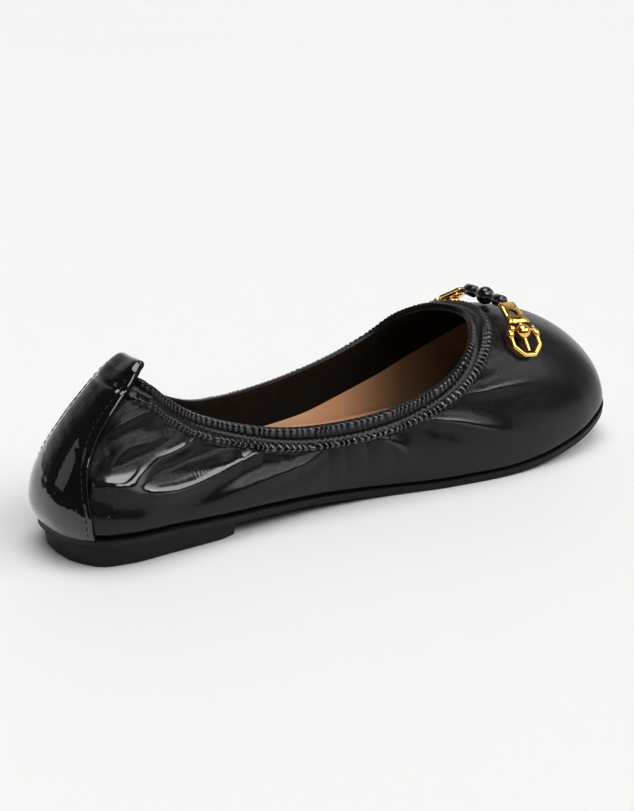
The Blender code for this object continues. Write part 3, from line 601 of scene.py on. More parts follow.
def rungs(columns, base, flip):
    """Faces across a ring from each column to its partner on the other side; two are triangles doubled up."""
    c = np.arange(columns // 2)
    face = np.stack([c, c + 1, columns - c - 1, (columns - c) % columns], -1) + base
    return face[:, ::-1] if flip else face


def drum(levels, heights):
    """Points and faces of a closed solid from levels (k, columns, 2) of a ring, shut by rungs at both ends."""
    count, columns = levels.shape[:2]
    points = np.concatenate([levels, heights[..., None]], -1)
    c = np.arange(columns)
    d = (c + 1) % columns
    walls = [np.stack([k * columns + c, k * columns + d, (k + 1) * columns + d, (k + 1) * columns + c], -1)
             for k in range(count - 1)]
    faces = np.concatenate(walls + [rungs(columns, 0, True), rungs(columns, (count - 1) * columns, False)])
    return points, faces


def clean(piece):
    """Merges the doubled corners of triangles and points the faces outward."""
    builder = bmesh.new()
    builder.from_mesh(piece.data)
    bmesh.ops.remove_doubles(builder, verts=builder.verts, dist=1e-7)
    bmesh.ops.dissolve_degenerate(builder, edges=builder.edges, dist=1e-8)
    bmesh.ops.recalc_face_normals(builder, faces=builder.faces)
    builder.to_mesh(piece.data)
    builder.free()


def outline(inset, count):
    """Ring of plan points set in from the feather line."""
    row, side = ring(count)
    flat, out = foot_point(row, side)
    return flat - out * np.broadcast_to(inset, row.shape)[:, None]


def turned(profile, segments):
    """Solid of revolution round y: (r cos a, y, r sin a) for each profile row (y, r)."""
    profile = np.asarray(profile, float)
    a = np.arange(segments) * 2 * math.pi / segments
    r = np.maximum(profile[:, 1], 1e-7)[None, :]
    y = np.broadcast_to(profile[:, 0][None, :], (segments, len(profile)))
    points = np.stack([r * np.cos(a)[:, None], y, r * np.sin(a)[:, None]], -1)
    faces = quads(segments, len(profile), True, False)
    ends = [np.arange(segments) * len(profile), np.arange(segments)[::-1] * len(profile) + len(profile) - 1]
    return points.reshape(-1, 3), faces.tolist() + [e.tolist() for e in ends]


def tube(path, radius, segments):
    """Tube round a path in the x, y plane: path + r (n cos a + z sin a), with n square to the way ahead."""
    ahead = np.gradient(path, axis=0)
    ahead /= np.linalg.norm(ahead, axis=1, keepdims=True)
    out = np.stack([ahead[:, 1], -ahead[:, 0]], 1)
    a = np.arange(segments) * 2 * math.pi / segments
    flat = path[:, None] + out[:, None] * radius[:, None, None] * np.cos(a)[None, :, None]
    z = radius[:, None] * np.sin(a)[None, :]
    points = np.concatenate([flat, z[..., None]], -1)
    faces = quads(len(path), segments, False, True).tolist()
    end = (len(path) - 1) * segments
    faces += [list(range(segments))[::-1], list(range(end, end + segments))]
    return points.reshape(-1, 3), faces


def stitch_row(name, line, normal, size, material, node):
    """A row of stitches along a line, of a size (length, gap, radius) in mm: each is a bar of six rings of radius
    r sqrt(1 - t^4), with t from -1 to 1 along it, arched off the leather."""
    length, gap, radius = (value * MM for value in size)
    step = np.linalg.norm(np.diff(line, axis=0), axis=1)
    way = np.concatenate([[0.0], np.cumsum(step)])
    count = max(int(way[-1] / (length + gap)), 1)
    pitch = way[-1] / count
    t = np.linspace(-1, 1, 6)
    where = (np.arange(count)[:, None] + 0.5) * pitch + t[None, :] * length / 2
    middle = np.stack([np.interp(where, way, line[:, k]) for k in range(3)], -1)
    up = np.stack([np.interp(where, way, normal[:, k]) for k in range(3)], -1)
    up /= np.linalg.norm(up, axis=-1, keepdims=True)
    ahead = np.gradient(middle, axis=1)
    ahead /= np.linalg.norm(ahead, axis=-1, keepdims=True)
    across = np.cross(ahead, up)
    thick = radius * np.sqrt(np.maximum(1 - t ** 4, 0.12))
    arch = radius * (0.35 - 1.1 * t ** 4)
    a = np.arange(6) * math.pi / 3
    points = (middle[:, :, None] + up[:, :, None] * (arch[None, :, None] + thick[None, :, None] * np.sin(a))[..., None]
              + across[:, :, None] * (thick[None, :, None] * np.cos(a))[..., None])
    one = quads(6, 6, False, True)
    caps = np.array([[5, 4, 3, 2], [5, 2, 1, 0], [30, 31, 32, 33], [30, 33, 34, 35]])
    one = np.concatenate([one, caps])
    faces = (one[None] + np.arange(count)[:, None, None] * 36).reshape(-1, 4)
    piece = new_piece(name, points, faces, material, node, sharp=0)
    clean(piece)
    return piece


# ---- finishes ----


def add(tree, kind, inputs=None, **settings):
    """A node with its settings; inputs maps socket names or numbers to values or to other nodes' outputs."""
    node = tree.nodes.new(kind)
    for key, value in settings.items():
        setattr(node, key, value)
    for key, value in (inputs or {}).items():
        if isinstance(value, bpy.types.NodeSocket):
            tree.links.new(value, node.inputs[key])
        else:
            node.inputs[key].default_value = value
    return node


def group(name, inputs, outputs):
    """An empty shader group with float inputs, given as name to default, and float outputs."""
    tree = bpy.data.node_groups.new(name, "ShaderNodeTree")
    tree.interface.new_socket("Vector", in_out="INPUT", socket_type="NodeSocketVector")
    for key, value in inputs.items():
        socket = tree.interface.new_socket(key, in_out="INPUT", socket_type="NodeSocketFloat")
        socket.default_value = value
    for key in outputs:
        tree.interface.new_socket(key, in_out="OUTPUT", socket_type="NodeSocketFloat")
    return tree, tree.nodes.new("NodeGroupInput"), tree.nodes.new("NodeGroupOutput")


def math_node(tree, operation, a, b=0.5, c=0.5):
    """Output of a Math node on a, b and c."""
    return add(tree, "ShaderNodeMath", {0: a, 1: b, 2: c}, operation=operation).outputs[0]


def noise(tree, where, scale, detail, output="Fac", **more):
    """A noise of a scale in cells per metre; more holds its other inputs by name."""
    return add(tree, "ShaderNodeTexNoise", {"Vector": where, "Scale": scale, "Detail": detail, **more}).outputs[output]


def make_grain_group():
    """Leather grain: small cells whose rims sink, broken up by a finer noise, and a slow blotch for gloss."""
    tree, start, end = group("Leather grain", {"Cells per metre": 1500.0, "Rim depth": 1.0}, ("Height", "Blotch"))
    bent = noise(tree, start.outputs["Vector"], 500.0, 2.0, "Color")
    shift = add(tree, "ShaderNodeVectorMath", {0: bent, 1: (0.0009, 0.0009, 0.0009)},
                operation="MULTIPLY")
    moved = add(tree, "ShaderNodeVectorMath", {0: start.outputs["Vector"], 1: shift.outputs[0]}, operation="ADD")
    cells = add(tree, "ShaderNodeTexVoronoi", {"Vector": moved.outputs[0], "Scale": start.outputs["Cells per metre"]},
                feature="DISTANCE_TO_EDGE")
    rim = add(tree, "ShaderNodeMapRange", {"Value": cells.outputs["Distance"], "From Min": 0.0, "From Max": 0.28},
              interpolation_type="SMOOTHSTEP")
    fine = noise(tree, start.outputs["Vector"], 3200.0, 2.0)
    deep = math_node(tree, "MULTIPLY", rim.outputs[0], start.outputs["Rim depth"])
    height = math_node(tree, "MULTIPLY_ADD", fine, 0.35, deep)
    blotch = noise(tree, start.outputs["Vector"], 70.0, 4.0)
    tree.links.new(height, end.inputs["Height"])
    tree.links.new(blotch, end.inputs["Blotch"])
    return tree


def make_dust_group():
    """Specks of dust: rare bright dots where a fine noise passes a high mark."""
    tree, start, end = group("Dust specks", {"Rarity": 0.74}, ("Mask",))
    specks = noise(tree, start.outputs["Vector"], 1300.0, 1.0)
    slow = noise(tree, start.outputs["Vector"], 60.0, 1.0)
    both = math_node(tree, "MULTIPLY_ADD", slow, 0.25, specks)
    low = math_node(tree, "ADD", start.outputs["Rarity"], 0.10)
    over = math_node(tree, "SUBTRACT", both, low)
    mask = math_node(tree, "MULTIPLY", over, 18.0)
    mask = add(tree, "ShaderNodeClamp", {0: mask})
    tree.links.new(mask.outputs[0], end.inputs["Mask"])
    return tree


def place(tree, kind="Object"):
    """The surface's place in the object's own coordinates."""
    return add(tree, "ShaderNodeTexCoord").outputs[kind]


def use(tree, shared, vector, **values):
    """A shared group in this tree, with some of its inputs set."""
    node = add(tree, "ShaderNodeGroup")
    node.node_tree = shared
    tree.links.new(vector, node.inputs["Vector"])
    for key, value in values.items():
        node.inputs[key.replace("_", " ")].default_value = value
    return node


def new_finish(name, color, roughness, **sockets):
    """A Principled material; sockets are its other constants, by name with spaces as underscores."""
    material = bpy.data.materials.new(name)
    material.use_nodes = True
    tree = material.node_tree
    shader = tree.nodes["Principled BSDF"]
    shader.inputs["Base Color"].default_value = (*color, 1.0)
    shader.inputs["Roughness"].default_value = roughness
    for key, value in sockets.items():
        shader.inputs[key.replace("_", " ")].default_value = value
    material.diffuse_color = (*color, 1.0)
    return material, tree, shader


def ramp(tree, value, low, high, from_low=0.0, from_high=1.0):
    """A value mapped in a straight line onto low to high."""
    return add(tree, "ShaderNodeMapRange", {"Value": value, "From Min": from_low, "From Max": from_high,
                                            "To Min": low, "To Max": high}).outputs[0]


def tint(tree, factor, a, b):
    """Colour a where the factor is 0 and b where it is 1."""
    return add(tree, "ShaderNodeMix", {"Factor": factor, 6: (*a, 1.0), 7: (*b, 1.0)}, data_type="RGBA").outputs[2]


def bump(tree, height, distance, strength=1.0, below=None):
    """Normal of a bump, laid over another where below is given."""
    node = add(tree, "ShaderNodeBump", {"Height": height, "Distance": distance, "Strength": strength})
    if below is not None:
        tree.links.new(below, node.inputs["Normal"])
    return node.outputs[0]


def attribute(tree, name):
    """A point attribute of the mesh."""
    return add(tree, "ShaderNodeAttribute", attribute_name=name).outputs["Fac"]


def leather_finish(grain, dust, color, roughness, depth):
    """Black glossy leather: grain stands out where the skin is drawn up and nearly vanishes low on the wall."""
    material, tree, shader = new_finish("black_leather", color, roughness, Coat_Roughness=0.12, Coat_IOR=1.9,
                                        Specular_IOR_Level=0.30)
    where = place(tree)
    skin_grain = use(tree, grain, where, Cells_per_metre=1350.0, Rim_depth=1.0)
    amount = attribute(tree, "grain")
    fine = math_node(tree, "MULTIPLY", skin_grain.outputs["Height"], amount)
    first = bump(tree, fine, depth * MM)
    flat = add(tree, "ShaderNodeUVMap", uv_map="flat").outputs[0]
    drawn = add(tree, "ShaderNodeMapping", {"Vector": flat, "Scale": (900.0, 210.0, 1.0)}).outputs[0]
    wrinkle = noise(tree, drawn, 1.0, 3.0, Distortion=0.6)
    pulled = math_node(tree, "MULTIPLY", wrinkle, attribute(tree, "pull"))
    second = bump(tree, pulled, 0.25 * MM, below=first)
    tree.links.new(second, shader.inputs["Normal"])
    rough = ramp(tree, skin_grain.outputs["Blotch"], roughness - 0.03, roughness + 0.05, 0.3, 0.7)
    rough = math_node(tree, "MULTIPLY_ADD", amount, 0.10, rough)
    shine = attribute(tree, "shine")
    rough = math_node(tree, "MULTIPLY_ADD", shine, -0.05, rough)
    tree.links.new(rough, shader.inputs["Roughness"])
    coat = math_node(tree, "MULTIPLY_ADD", shine, 0.90, 0.04)
    tree.links.new(coat, shader.inputs["Coat Weight"])
    specks = use(tree, dust, where, Rarity=0.80)
    tree.links.new(tint(tree, specks.outputs[0], color, (0.10, 0.10, 0.10)), shader.inputs["Base Color"])
    return material


def patent_finish(dust, color):
    """Patent leather: a mirror coat over black, with the slight waviness of the skin beneath."""
    material, tree, shader = new_finish("black_patent", color, 0.05, Coat_Weight=1.0, Coat_Roughness=0.02,
                                        Coat_IOR=1.55, Specular_IOR_Level=0.6)
    where = place(tree)
    slow = noise(tree, where, 150.0, 2.0, Distortion=0.4)
    fine = noise(tree, where, 700.0, 1.0)
    first = bump(tree, slow, 0.30 * MM, 0.5)
    wavy = bump(tree, fine, 0.03 * MM, 0.5, below=first)
    tree.links.new(wavy, shader.inputs["Normal"])
    tree.links.new(wavy, shader.inputs["Coat Normal"])
    specks = use(tree, dust, where, Rarity=0.80)
    tree.links.new(tint(tree, specks.outputs[0], color, (0.22, 0.22, 0.22)), shader.inputs["Base Color"])
    tree.links.new(ramp(tree, specks.outputs[0], 0.05, 0.5), shader.inputs["Roughness"])
    return material


def fibre_finish(name, dark, light, scale, depth, roughness=0.75):
    """Matt fibrous stuff: raw leather edge, elastic or lining."""
    material, tree, shader = new_finish(name, dark, roughness, Specular_IOR_Level=0.2)
    where = place(tree)
    fuzz = noise(tree, where, scale, 5.0, Roughness=0.65)
    tree.links.new(tint(tree, ramp(tree, fuzz, 0, 1, 0.35, 0.65), dark, light),
                   shader.inputs["Base Color"])
    tree.links.new(bump(tree, fuzz, depth * MM), shader.inputs["Normal"])
    return material


def rubber_finish(dust, color):
    """Matt moulded rubber, with a fine bloom and dust."""
    material, tree, shader = new_finish("black_rubber", color, 0.5, Specular_IOR_Level=0.32)
    where = place(tree)
    fine = noise(tree, where, 1800.0, 3.0)
    slow = noise(tree, where, 90.0, 4.0)
    tree.links.new(bump(tree, fine, 0.05 * MM), shader.inputs["Normal"])
    tree.links.new(ramp(tree, slow, 0.42, 0.62, 0.35, 0.65), shader.inputs["Roughness"])
    specks = use(tree, dust, where, Rarity=0.80)
    bloom = tint(tree, ramp(tree, slow, 0, 1, 0.35, 0.7), color, tuple(c * 1.5 for c in color))
    base = add(tree, "ShaderNodeMix", {"Factor": specks.outputs[0], 6: bloom, 7: (0.16, 0.15, 0.14, 1)},
               data_type="RGBA").outputs[2]
    tree.links.new(base, shader.inputs["Base Color"])
    return material


def tan_finish(name, grain, color, roughness=0.5):
    """Smooth tan lining leather with faint pores and slow unevenness of colour."""
    material, tree, shader = new_finish(name, color, roughness, Specular_IOR_Level=0.35)
    where = place(tree)
    pores = use(tree, grain, where, Cells_per_metre=2200.0, Rim_depth=0.5)
    tree.links.new(bump(tree, pores.outputs["Height"], 0.03 * MM), shader.inputs["Normal"])
    darker = tuple(c * 0.88 for c in color)
    tree.links.new(tint(tree, ramp(tree, pores.outputs["Blotch"], 0, 1, 0.3, 0.7), color, darker),
                   shader.inputs["Base Color"])
    tree.links.new(ramp(tree, pores.outputs["Blotch"], roughness - 0.06, roughness + 0.08, 0.3, 0.7),
                   shader.inputs["Roughness"])
    return material


def lining_finish(grain, dark, tan):
    """Inside of the wall: dark quarter lining, and tan vamp lining where the zone passes the border; the tan darkens
    towards the toe as painted shade.
    """
    material, tree, shader = new_finish("shoe_lining", dark, 0.5, Specular_IOR_Level=0.14)
    where = place(tree)
    pores = use(tree, grain, where, Cells_per_metre=2000.0, Rim_depth=0.6)
    zone = attribute(tree, "zone")
    front = ramp(tree, zone, 0, 1, -0.0002, 0.0002)
    ahead = add(tree, "ShaderNodeSeparateXYZ", {0: where}).outputs[0]
    # Painted shade: the tan vamp lining darkens to 0.30 of its colour from x = 0.03 to 0.062 m, deeper in towards the
    # toe.
    shade = ramp(tree, ahead, 0, 1, 0.03, 0.062)
    tan_in_painted_shade = add(tree, "ShaderNodeMix", {"Factor": shade, 6: (*tan, 1.0), 7: (*[c * 0.30 for c in tan], 1.0)},
               data_type="RGBA").outputs[2]
    base = add(tree, "ShaderNodeMix", {"Factor": front, 6: (*dark, 1.0), 7: tan_in_painted_shade}, data_type="RGBA").outputs[2]
    tree.links.new(base, shader.inputs["Base Color"])
    edge = math_node(tree, "ABSOLUTE", zone)
    step = ramp(tree, edge, -2.0, 0.0, 0.0, 0.0005)
    height = math_node(tree, "ADD", pores.outputs["Height"], step)
    tree.links.new(bump(tree, height, 0.08 * MM), shader.inputs["Normal"])
    return material


def gold_finish(color):
    """Polished gilt casting with soft hand-finished unevenness."""
    material, tree, shader = new_finish("gilt_metal", color, 0.13, Metallic=1.0)
    where = place(tree)
    slow = noise(tree, where, 420.0, 3.0)
    fine = noise(tree, where, 2600.0, 2.0)
    first = bump(tree, slow, 0.10 * MM, 0.6)
    tree.links.new(bump(tree, fine, 0.01 * MM, below=first), shader.inputs["Normal"])
    tree.links.new(ramp(tree, slow, 0.08, 0.22, 0.3, 0.7), shader.inputs["Roughness"])
    deeper = (color[0] * 0.92, color[1] * 0.86, color[2] * 0.72)
    tree.links.new(tint(tree, ramp(tree, slow, 0, 1, 0.35, 0.65), color, deeper),
                   shader.inputs["Base Color"])
    return material


def lacquer_finish(color):
    """Black enamel on the bar."""
    material, tree, shader = new_finish("black_enamel", color, 0.12, Coat_Weight=1.0, Coat_Roughness=0.03)
    where = place(tree)
    slow = noise(tree, where, 500.0, 2.0)
    tree.links.new(bump(tree, slow, 0.06 * MM), shader.inputs["Normal"])
    tree.links.new(ramp(tree, slow, 0.08, 0.2, 0.3, 0.7), shader.inputs["Roughness"])
    return material


def floor_finish(color):
    """Pale matt studio floor with a barely seen mottle."""
    material, tree, shader = new_finish("studio_floor", color, 0.6, Specular_IOR_Level=0.25)
    where = place(tree)
    slow = noise(tree, where, 3.0, 3.0)
    darker = tuple(c * 0.985 for c in color)
    tree.links.new(tint(tree, slow, color, darker), shader.inputs["Base Color"])
    return material


FINISHES = {}


def make_finishes(context):
    """All of the shoe's materials, made once."""
    if FINISHES:
        return FINISHES
    colors = context.scene.flat_colors
    relief = context.scene.flat_relief
    grain = make_grain_group()
    dust = make_dust_group()
    FINISHES["leather"] = leather_finish(grain, dust, tuple(colors.leather), colors.leather_roughness, relief.grain)
    FINISHES["patent"] = patent_finish(dust, tuple(colors.patent))
    FINISHES["edge"] = fibre_finish("cut_edge", (0.010, 0.018, 0.021), (0.045, 0.065, 0.07), 2400.0, 0.10)
    # The elastic itself is black; the brown tint in both its colours is painted reflection of the tan insole.
    FINISHES["elastic"] = fibre_finish("elastic_band", (0.005, 0.003, 0.0025), (0.022, 0.011, 0.007), 1500.0, 0.12)
    FINISHES["thread"] = fibre_finish("black_thread", (0.010, 0.010, 0.011), (0.05, 0.05, 0.055), 4000.0, 0.05, 0.5)
    FINISHES["rubber"] = rubber_finish(dust, tuple(colors.rubber))
    FINISHES["insole"] = tan_finish("tan_insole", grain, tuple(colors.insole))
    FINISHES["lining"] = lining_finish(grain, (0.005, 0.005, 0.005), tuple(c * 0.92 for c in colors.insole))
    FINISHES["gold"] = gold_finish(tuple(colors.gold))
    FINISHES["lacquer"] = lacquer_finish((0.006, 0.006, 0.007))
    return FINISHES


# ---- settings ----


class FlatColors(bpy.types.PropertyGroup):
    """Colours and gloss of the shoe."""

    leather: bpy.props.FloatVectorProperty(name="Leather", description="Colour of the upper's leather",
                                           subtype="COLOR", size=3, min=0, max=1, default=(0.004, 0.004, 0.0045))
    leather_roughness: bpy.props.FloatProperty(name="Leather roughness", description="Roughness of the leather",
                                               min=0.1, max=0.8, default=0.18, subtype="FACTOR")
    patent: bpy.props.FloatVectorProperty(name="Patent", description="Colour under the back strap's coat",
                                          subtype="COLOR", size=3, min=0, max=1, default=(0.002, 0.002, 0.0025))
    rubber: bpy.props.FloatVectorProperty(name="Rubber", description="Colour of the sole", subtype="COLOR",
                                          size=3, min=0, max=1, default=(0.006, 0.006, 0.0065))
    insole: bpy.props.FloatVectorProperty(name="Insole", description="Colour of the insole", subtype="COLOR",
                                          size=3, min=0, max=1, default=(0.90, 0.57, 0.34))
    gold: bpy.props.FloatVectorProperty(name="Gilt", description="Colour of the ornament's metal",
                                        subtype="COLOR", size=3, min=0, max=1, default=(0.95, 0.62, 0.20))


class FlatRelief(bpy.types.PropertyGroup):
    """Depth of the leather's relief."""

    crease: bpy.props.FloatProperty(name="Creases", description="Height of the creases, of their own height",
                                    min=0, max=2, default=1.0, subtype="FACTOR")
    gather: bpy.props.FloatProperty(name="Gathers", description="Height of the gathers under the casing",
                                    min=0, max=2, default=1.0, subtype="FACTOR")
    pucker: bpy.props.FloatProperty(name="Puckers", description="Height of the casing's puckers",
                                    min=0, max=2, default=1.0, subtype="FACTOR")
    grain: bpy.props.FloatProperty(name="Grain depth", description="Depth of the leather grain, in mm",
                                   min=0, max=0.5, default=0.05)


class FlatStage(bpy.types.PropertyGroup):
    """Floor, light and view."""

    floor: bpy.props.FloatVectorProperty(name="Floor", description="Colour of the floor", subtype="COLOR",
                                         size=3, min=0, max=1, default=(0.90, 0.895, 0.89))
    lens: bpy.props.FloatProperty(name="Lens", description="Focal length", min=20, max=300, default=80.0,
                                  subtype="DISTANCE_CAMERA")
    light: bpy.props.FloatProperty(name="Light", description="Strength of the studio light", min=0, max=10,
                                   default=1.0)


# ---- pieces ----


class FLAT_OT_upper(bpy.types.Operator):
    """Leather upper: one hollow wall from the feather line to the casing, creased and gathered"""

    bl_idname = "flat.make_upper"
    bl_label = "Upper"

    def execute(self, context):
        finish = make_finishes(context)
        relief = context.scene.flat_relief
        row, side = ring(UPPER_RING)
        _, length = rib_runs(row, side)
        top = (length - CASING_WIDTH * 0.86)[:, None]
        share = np.concatenate([[0.0, 0.004], np.linspace(0.012, 1.0, 70)])[None, :]
        up = share * top
        points, normal = skin(row, side, up)
        part_up = up / length[:, None]
        free = past_strap(row, part_up, 0.22) * ease(up, 0.5 * MM, 5 * MM) * ease(length[:, None] - up, 7 * MM, 10 * MM)
        height = crease_height(row, side, part_up, points) * relief.crease
        gathers = gather_height(row, side, length[:, None] - up) * relief.gather
        slow = wander(points[..., 0] / (17 * MM) + points[..., 2] / (11 * MM), 1.7) * 0.12 * MM
        outside = points + normal * ((height + slow) * free + gathers * past_strap(row, part_up, 0.35))[..., None]
        tuck = np.exp(-(up / (0.9 * MM)) ** 2) * 0.45 * MM
        outside -= normal * tuck[..., None]
        inside_up = np.linspace(0, 1, 26)[None, :] * (length - CASING_WIDTH * 0.75)[:, None]
        base, inward = skin(row, side, inside_up)
        inside = base - inward * UPPER_WALL
        flat, out = foot_point(row, side)
        inside[:, 0, :2] = flat - out * UPPER_WALL
        inside[:, 0, 2] = sole_top(flat[:, 0]) + CLEARANCE
        section = np.concatenate([outside, inside[:, ::-1]], 1)
        columns, rows = section.shape[:2]
        zone = np.full(section.shape[:2], -0.01)
        border = curve(LINING_COLUMNS, LINING_ROWS, "share", row)
        gap = (np.where(row < LINING_ROWS[0][0], -1.0, border) * length)[:, None] - inside_up
        zone[:, outside.shape[1]:] = gap[:, ::-1]
        low = ease(points[..., 2], 12 * MM, 30 * MM)
        toe = 1 - 0.75 * ease(points[..., 0], 0.185, 0.215)
        rise = np.gradient(height, axis=1) / np.gradient(up, axis=1)
        crest = ease(height, 0.4 * MM, 1.5 * MM) * free * ease(-rise, -0.30, -0.05)
        grain = np.zeros(section.shape[:2])
        grain[:, :outside.shape[1]] = np.clip((0.16 + 0.62 * low * toe) * (1 - 0.8 * crest), 0, 1)
        shine = np.zeros(section.shape[:2])
        shine[:, :outside.shape[1]] = np.maximum(crest, 0.10 * (1 - low))
        pull = np.zeros(section.shape[:2])
        tab = np.exp(-((row[:, None] - strap_edge(part_up)) / 1.1) ** 2) * ease(part_up, 0.55, 0.9)
        sides = elastic(row, "gather")[:, None] * np.exp(-(length[:, None] - up) / (9 * MM)) * 0.7
        pull[:, :outside.shape[1]] = np.clip(tab + sides, 0, 1)
        way = topline_way(row, side)
        flat_map = np.stack([np.broadcast_to(way[:, None], (columns, rows)),
                             np.concatenate([up, inside_up[:, ::-1]], 1)], -1)
        faces = quads(columns, rows, True, True)
        number = np.where((np.arange(len(faces)) % rows) < outside.shape[1] - 1, 0, 1)
        new_piece("upper_leather", section, faces, ([finish["leather"], finish["lining"]], number), "upper",
                  {"zone": zone, "grain": grain, "pull": pull, "shine": shine}, flat_map, sharp=0)
        return {"FINISHED"}


class FLAT_OT_topline(bpy.types.Operator):
    """Elastic casing round the topline, puckered outside and in"""

    bl_idname = "flat.make_topline"
    bl_label = "Topline"

    def execute(self, context):
        finish = make_finishes(context)
        relief = context.scene.flat_relief
        row, side = ring(CASING_RING)
        _, length = rib_runs(row, side)
        way = topline_way(row, side)
        down = np.concatenate([np.linspace(1.03, 0.70, 7)[:-1], np.linspace(0.70, 0.22, 6)[:-1],
                               np.linspace(0.22, 0.0, 6)]) * CASING_WIDTH
        up = length[:, None] - down[None, :]
        points, normal = skin(row, side, up)
        fade = past_strap(row, up / length[:, None], 0.5)
        proud = smooth(column(CASING_COLUMNS, CASING_ROWS, "down") * CASING_WIDTH,
                       column(CASING_COLUMNS, CASING_ROWS, "proud") * CASING_PROUD, down)[None, :]
        proud = proud - 0.40 * MM * np.exp(-((down / CASING_WIDTH - 0.46) / 0.17) ** 2)[None, :]
        slant = 2.4 * wander(down[None, :] / (3.6 * MM) + way[:, None] / (7 * MM), 0.7)
        channel = np.exp(-((down / CASING_WIDTH - 0.42) / 0.24) ** 2)[None, :]
        edges = 0.8 * np.exp(-((down - 0.14 * CASING_WIDTH) / (0.10 * CASING_WIDTH)) ** 2)
        edges += 1.3 * np.exp(-((down - 0.80 * CASING_WIDTH) / (0.12 * CASING_WIDTH)) ** 2)
        shown = edges[None, :] + channel * (0.22 * np.clip(elastic(row, "gather") * 1.3 - 0.45, 0, 1))[:, None]
        lively = (0.75 + 0.35 * wander(way / (5.5 * MM), 3.3) + 0.35 * wander(way / (1.9 * MM), 0.2))[:, None]
        wave = pucker_wave(row, way, slant) * elastic(row, "pucker")[:, None] * 1.45 * MM
        outside = points + normal * ((proud + wave * shown * lively * relief.pucker) * fade)[..., None]
        over = np.linspace(0, math.pi, 7)[1:-1]
        crest, crest_out = skin(row, side, length[:, None])
        rise = crest[:, 0] - skin(row, side, length[:, None] - 0.5 * MM)[0][:, 0]
        rise /= np.linalg.norm(rise, axis=1, keepdims=True)
        half = UPPER_WALL / 2
        beads = pucker_wave(row, way, 0.0)[:, 0] * elastic(row, "pucker") * MM * 0.08 * fade[:, -1]
        rim = (crest - crest_out * half + crest_out * half * np.cos(over)[None, :, None]
               + rise[:, None] * ((half * 0.8 + beads)[:, None] * np.sin(over)[None, :])[..., None])
        inner_down = np.linspace(0.0, 0.98, 12) * CASING_WIDTH
        inner, inward = skin(row, side, length[:, None] - inner_down[None, :])
        ripple = pucker_wave(row, way * 1.25, 1.3 * wander(inner_down[None, :] / (3 * MM), 2.0))
        bulge = (0.35 + 0.35 * ripple) * np.sin(np.linspace(0, 1, 12) ** 0.7 * math.pi * 0.9)[None, :] * MM
        inside = inner - inward * (UPPER_WALL + bulge * (0.25 + 0.75 * fade[:, -1:]))[..., None]
        section = np.concatenate([outside, rim, inside], 1)
        columns, rows = section.shape[:2]
        faces = quads(columns, rows, True, True)
        place_in = np.arange(len(faces)) % rows
        number = np.where(place_in < outside.shape[1] + 4, 0, 1)
        grain = np.full((columns, rows), 0.20)
        pull = np.full((columns, rows), 0.25)
        zone = np.zeros((columns, rows))
        shine = np.zeros((columns, rows))
        shine[:, :outside.shape[1]] = np.clip(edges * 1.6, 0, 1)[None, :] * ease(wave, 0.05 * MM, 0.40 * MM)
        depth = np.concatenate([length[:, None] - down, np.broadcast_to(length[:, None], (columns, 5)),
                                length[:, None] + inner_down], 1)
        flat_map = np.stack([np.broadcast_to(way[:, None], (columns, rows)), depth], -1)
        new_piece("topline_casing", section, faces, ([finish["leather"], finish["elastic"]], number), "upper",
                  {"grain": grain, "pull": pull, "zone": zone, "shine": shine}, flat_map, sharp=0)
        line, out = skin(row[::2], side[::2], (length - CASING_WIDTH * 0.955)[::2, None])
        keep = row[::2] > strap_edge(np.array(0.9)) + 0.3
        start = np.flatnonzero(keep)
        line = (line + out * 0.25 * MM)[start, 0]
        stitch_row("topline_stitches", line, out[start, 0], TOPLINE_STITCH, finish["thread"], "upper")
        return {"FINISHED"}


def strap_place(across, up):
    """Point and normal of the last under the strap: across -1 to 1, up 0 to 1 by length."""
    row = across * strap_edge(up)
    flat_row = row.ravel()
    side = -np.ones(flat_row.shape)
    _, length = rib_runs(flat_row, side)
    points, normal = skin(flat_row, side, (up.ravel() * length)[:, None])
    return points[:, 0].reshape(row.shape + (3,)), normal[:, 0].reshape(row.shape + (3,))


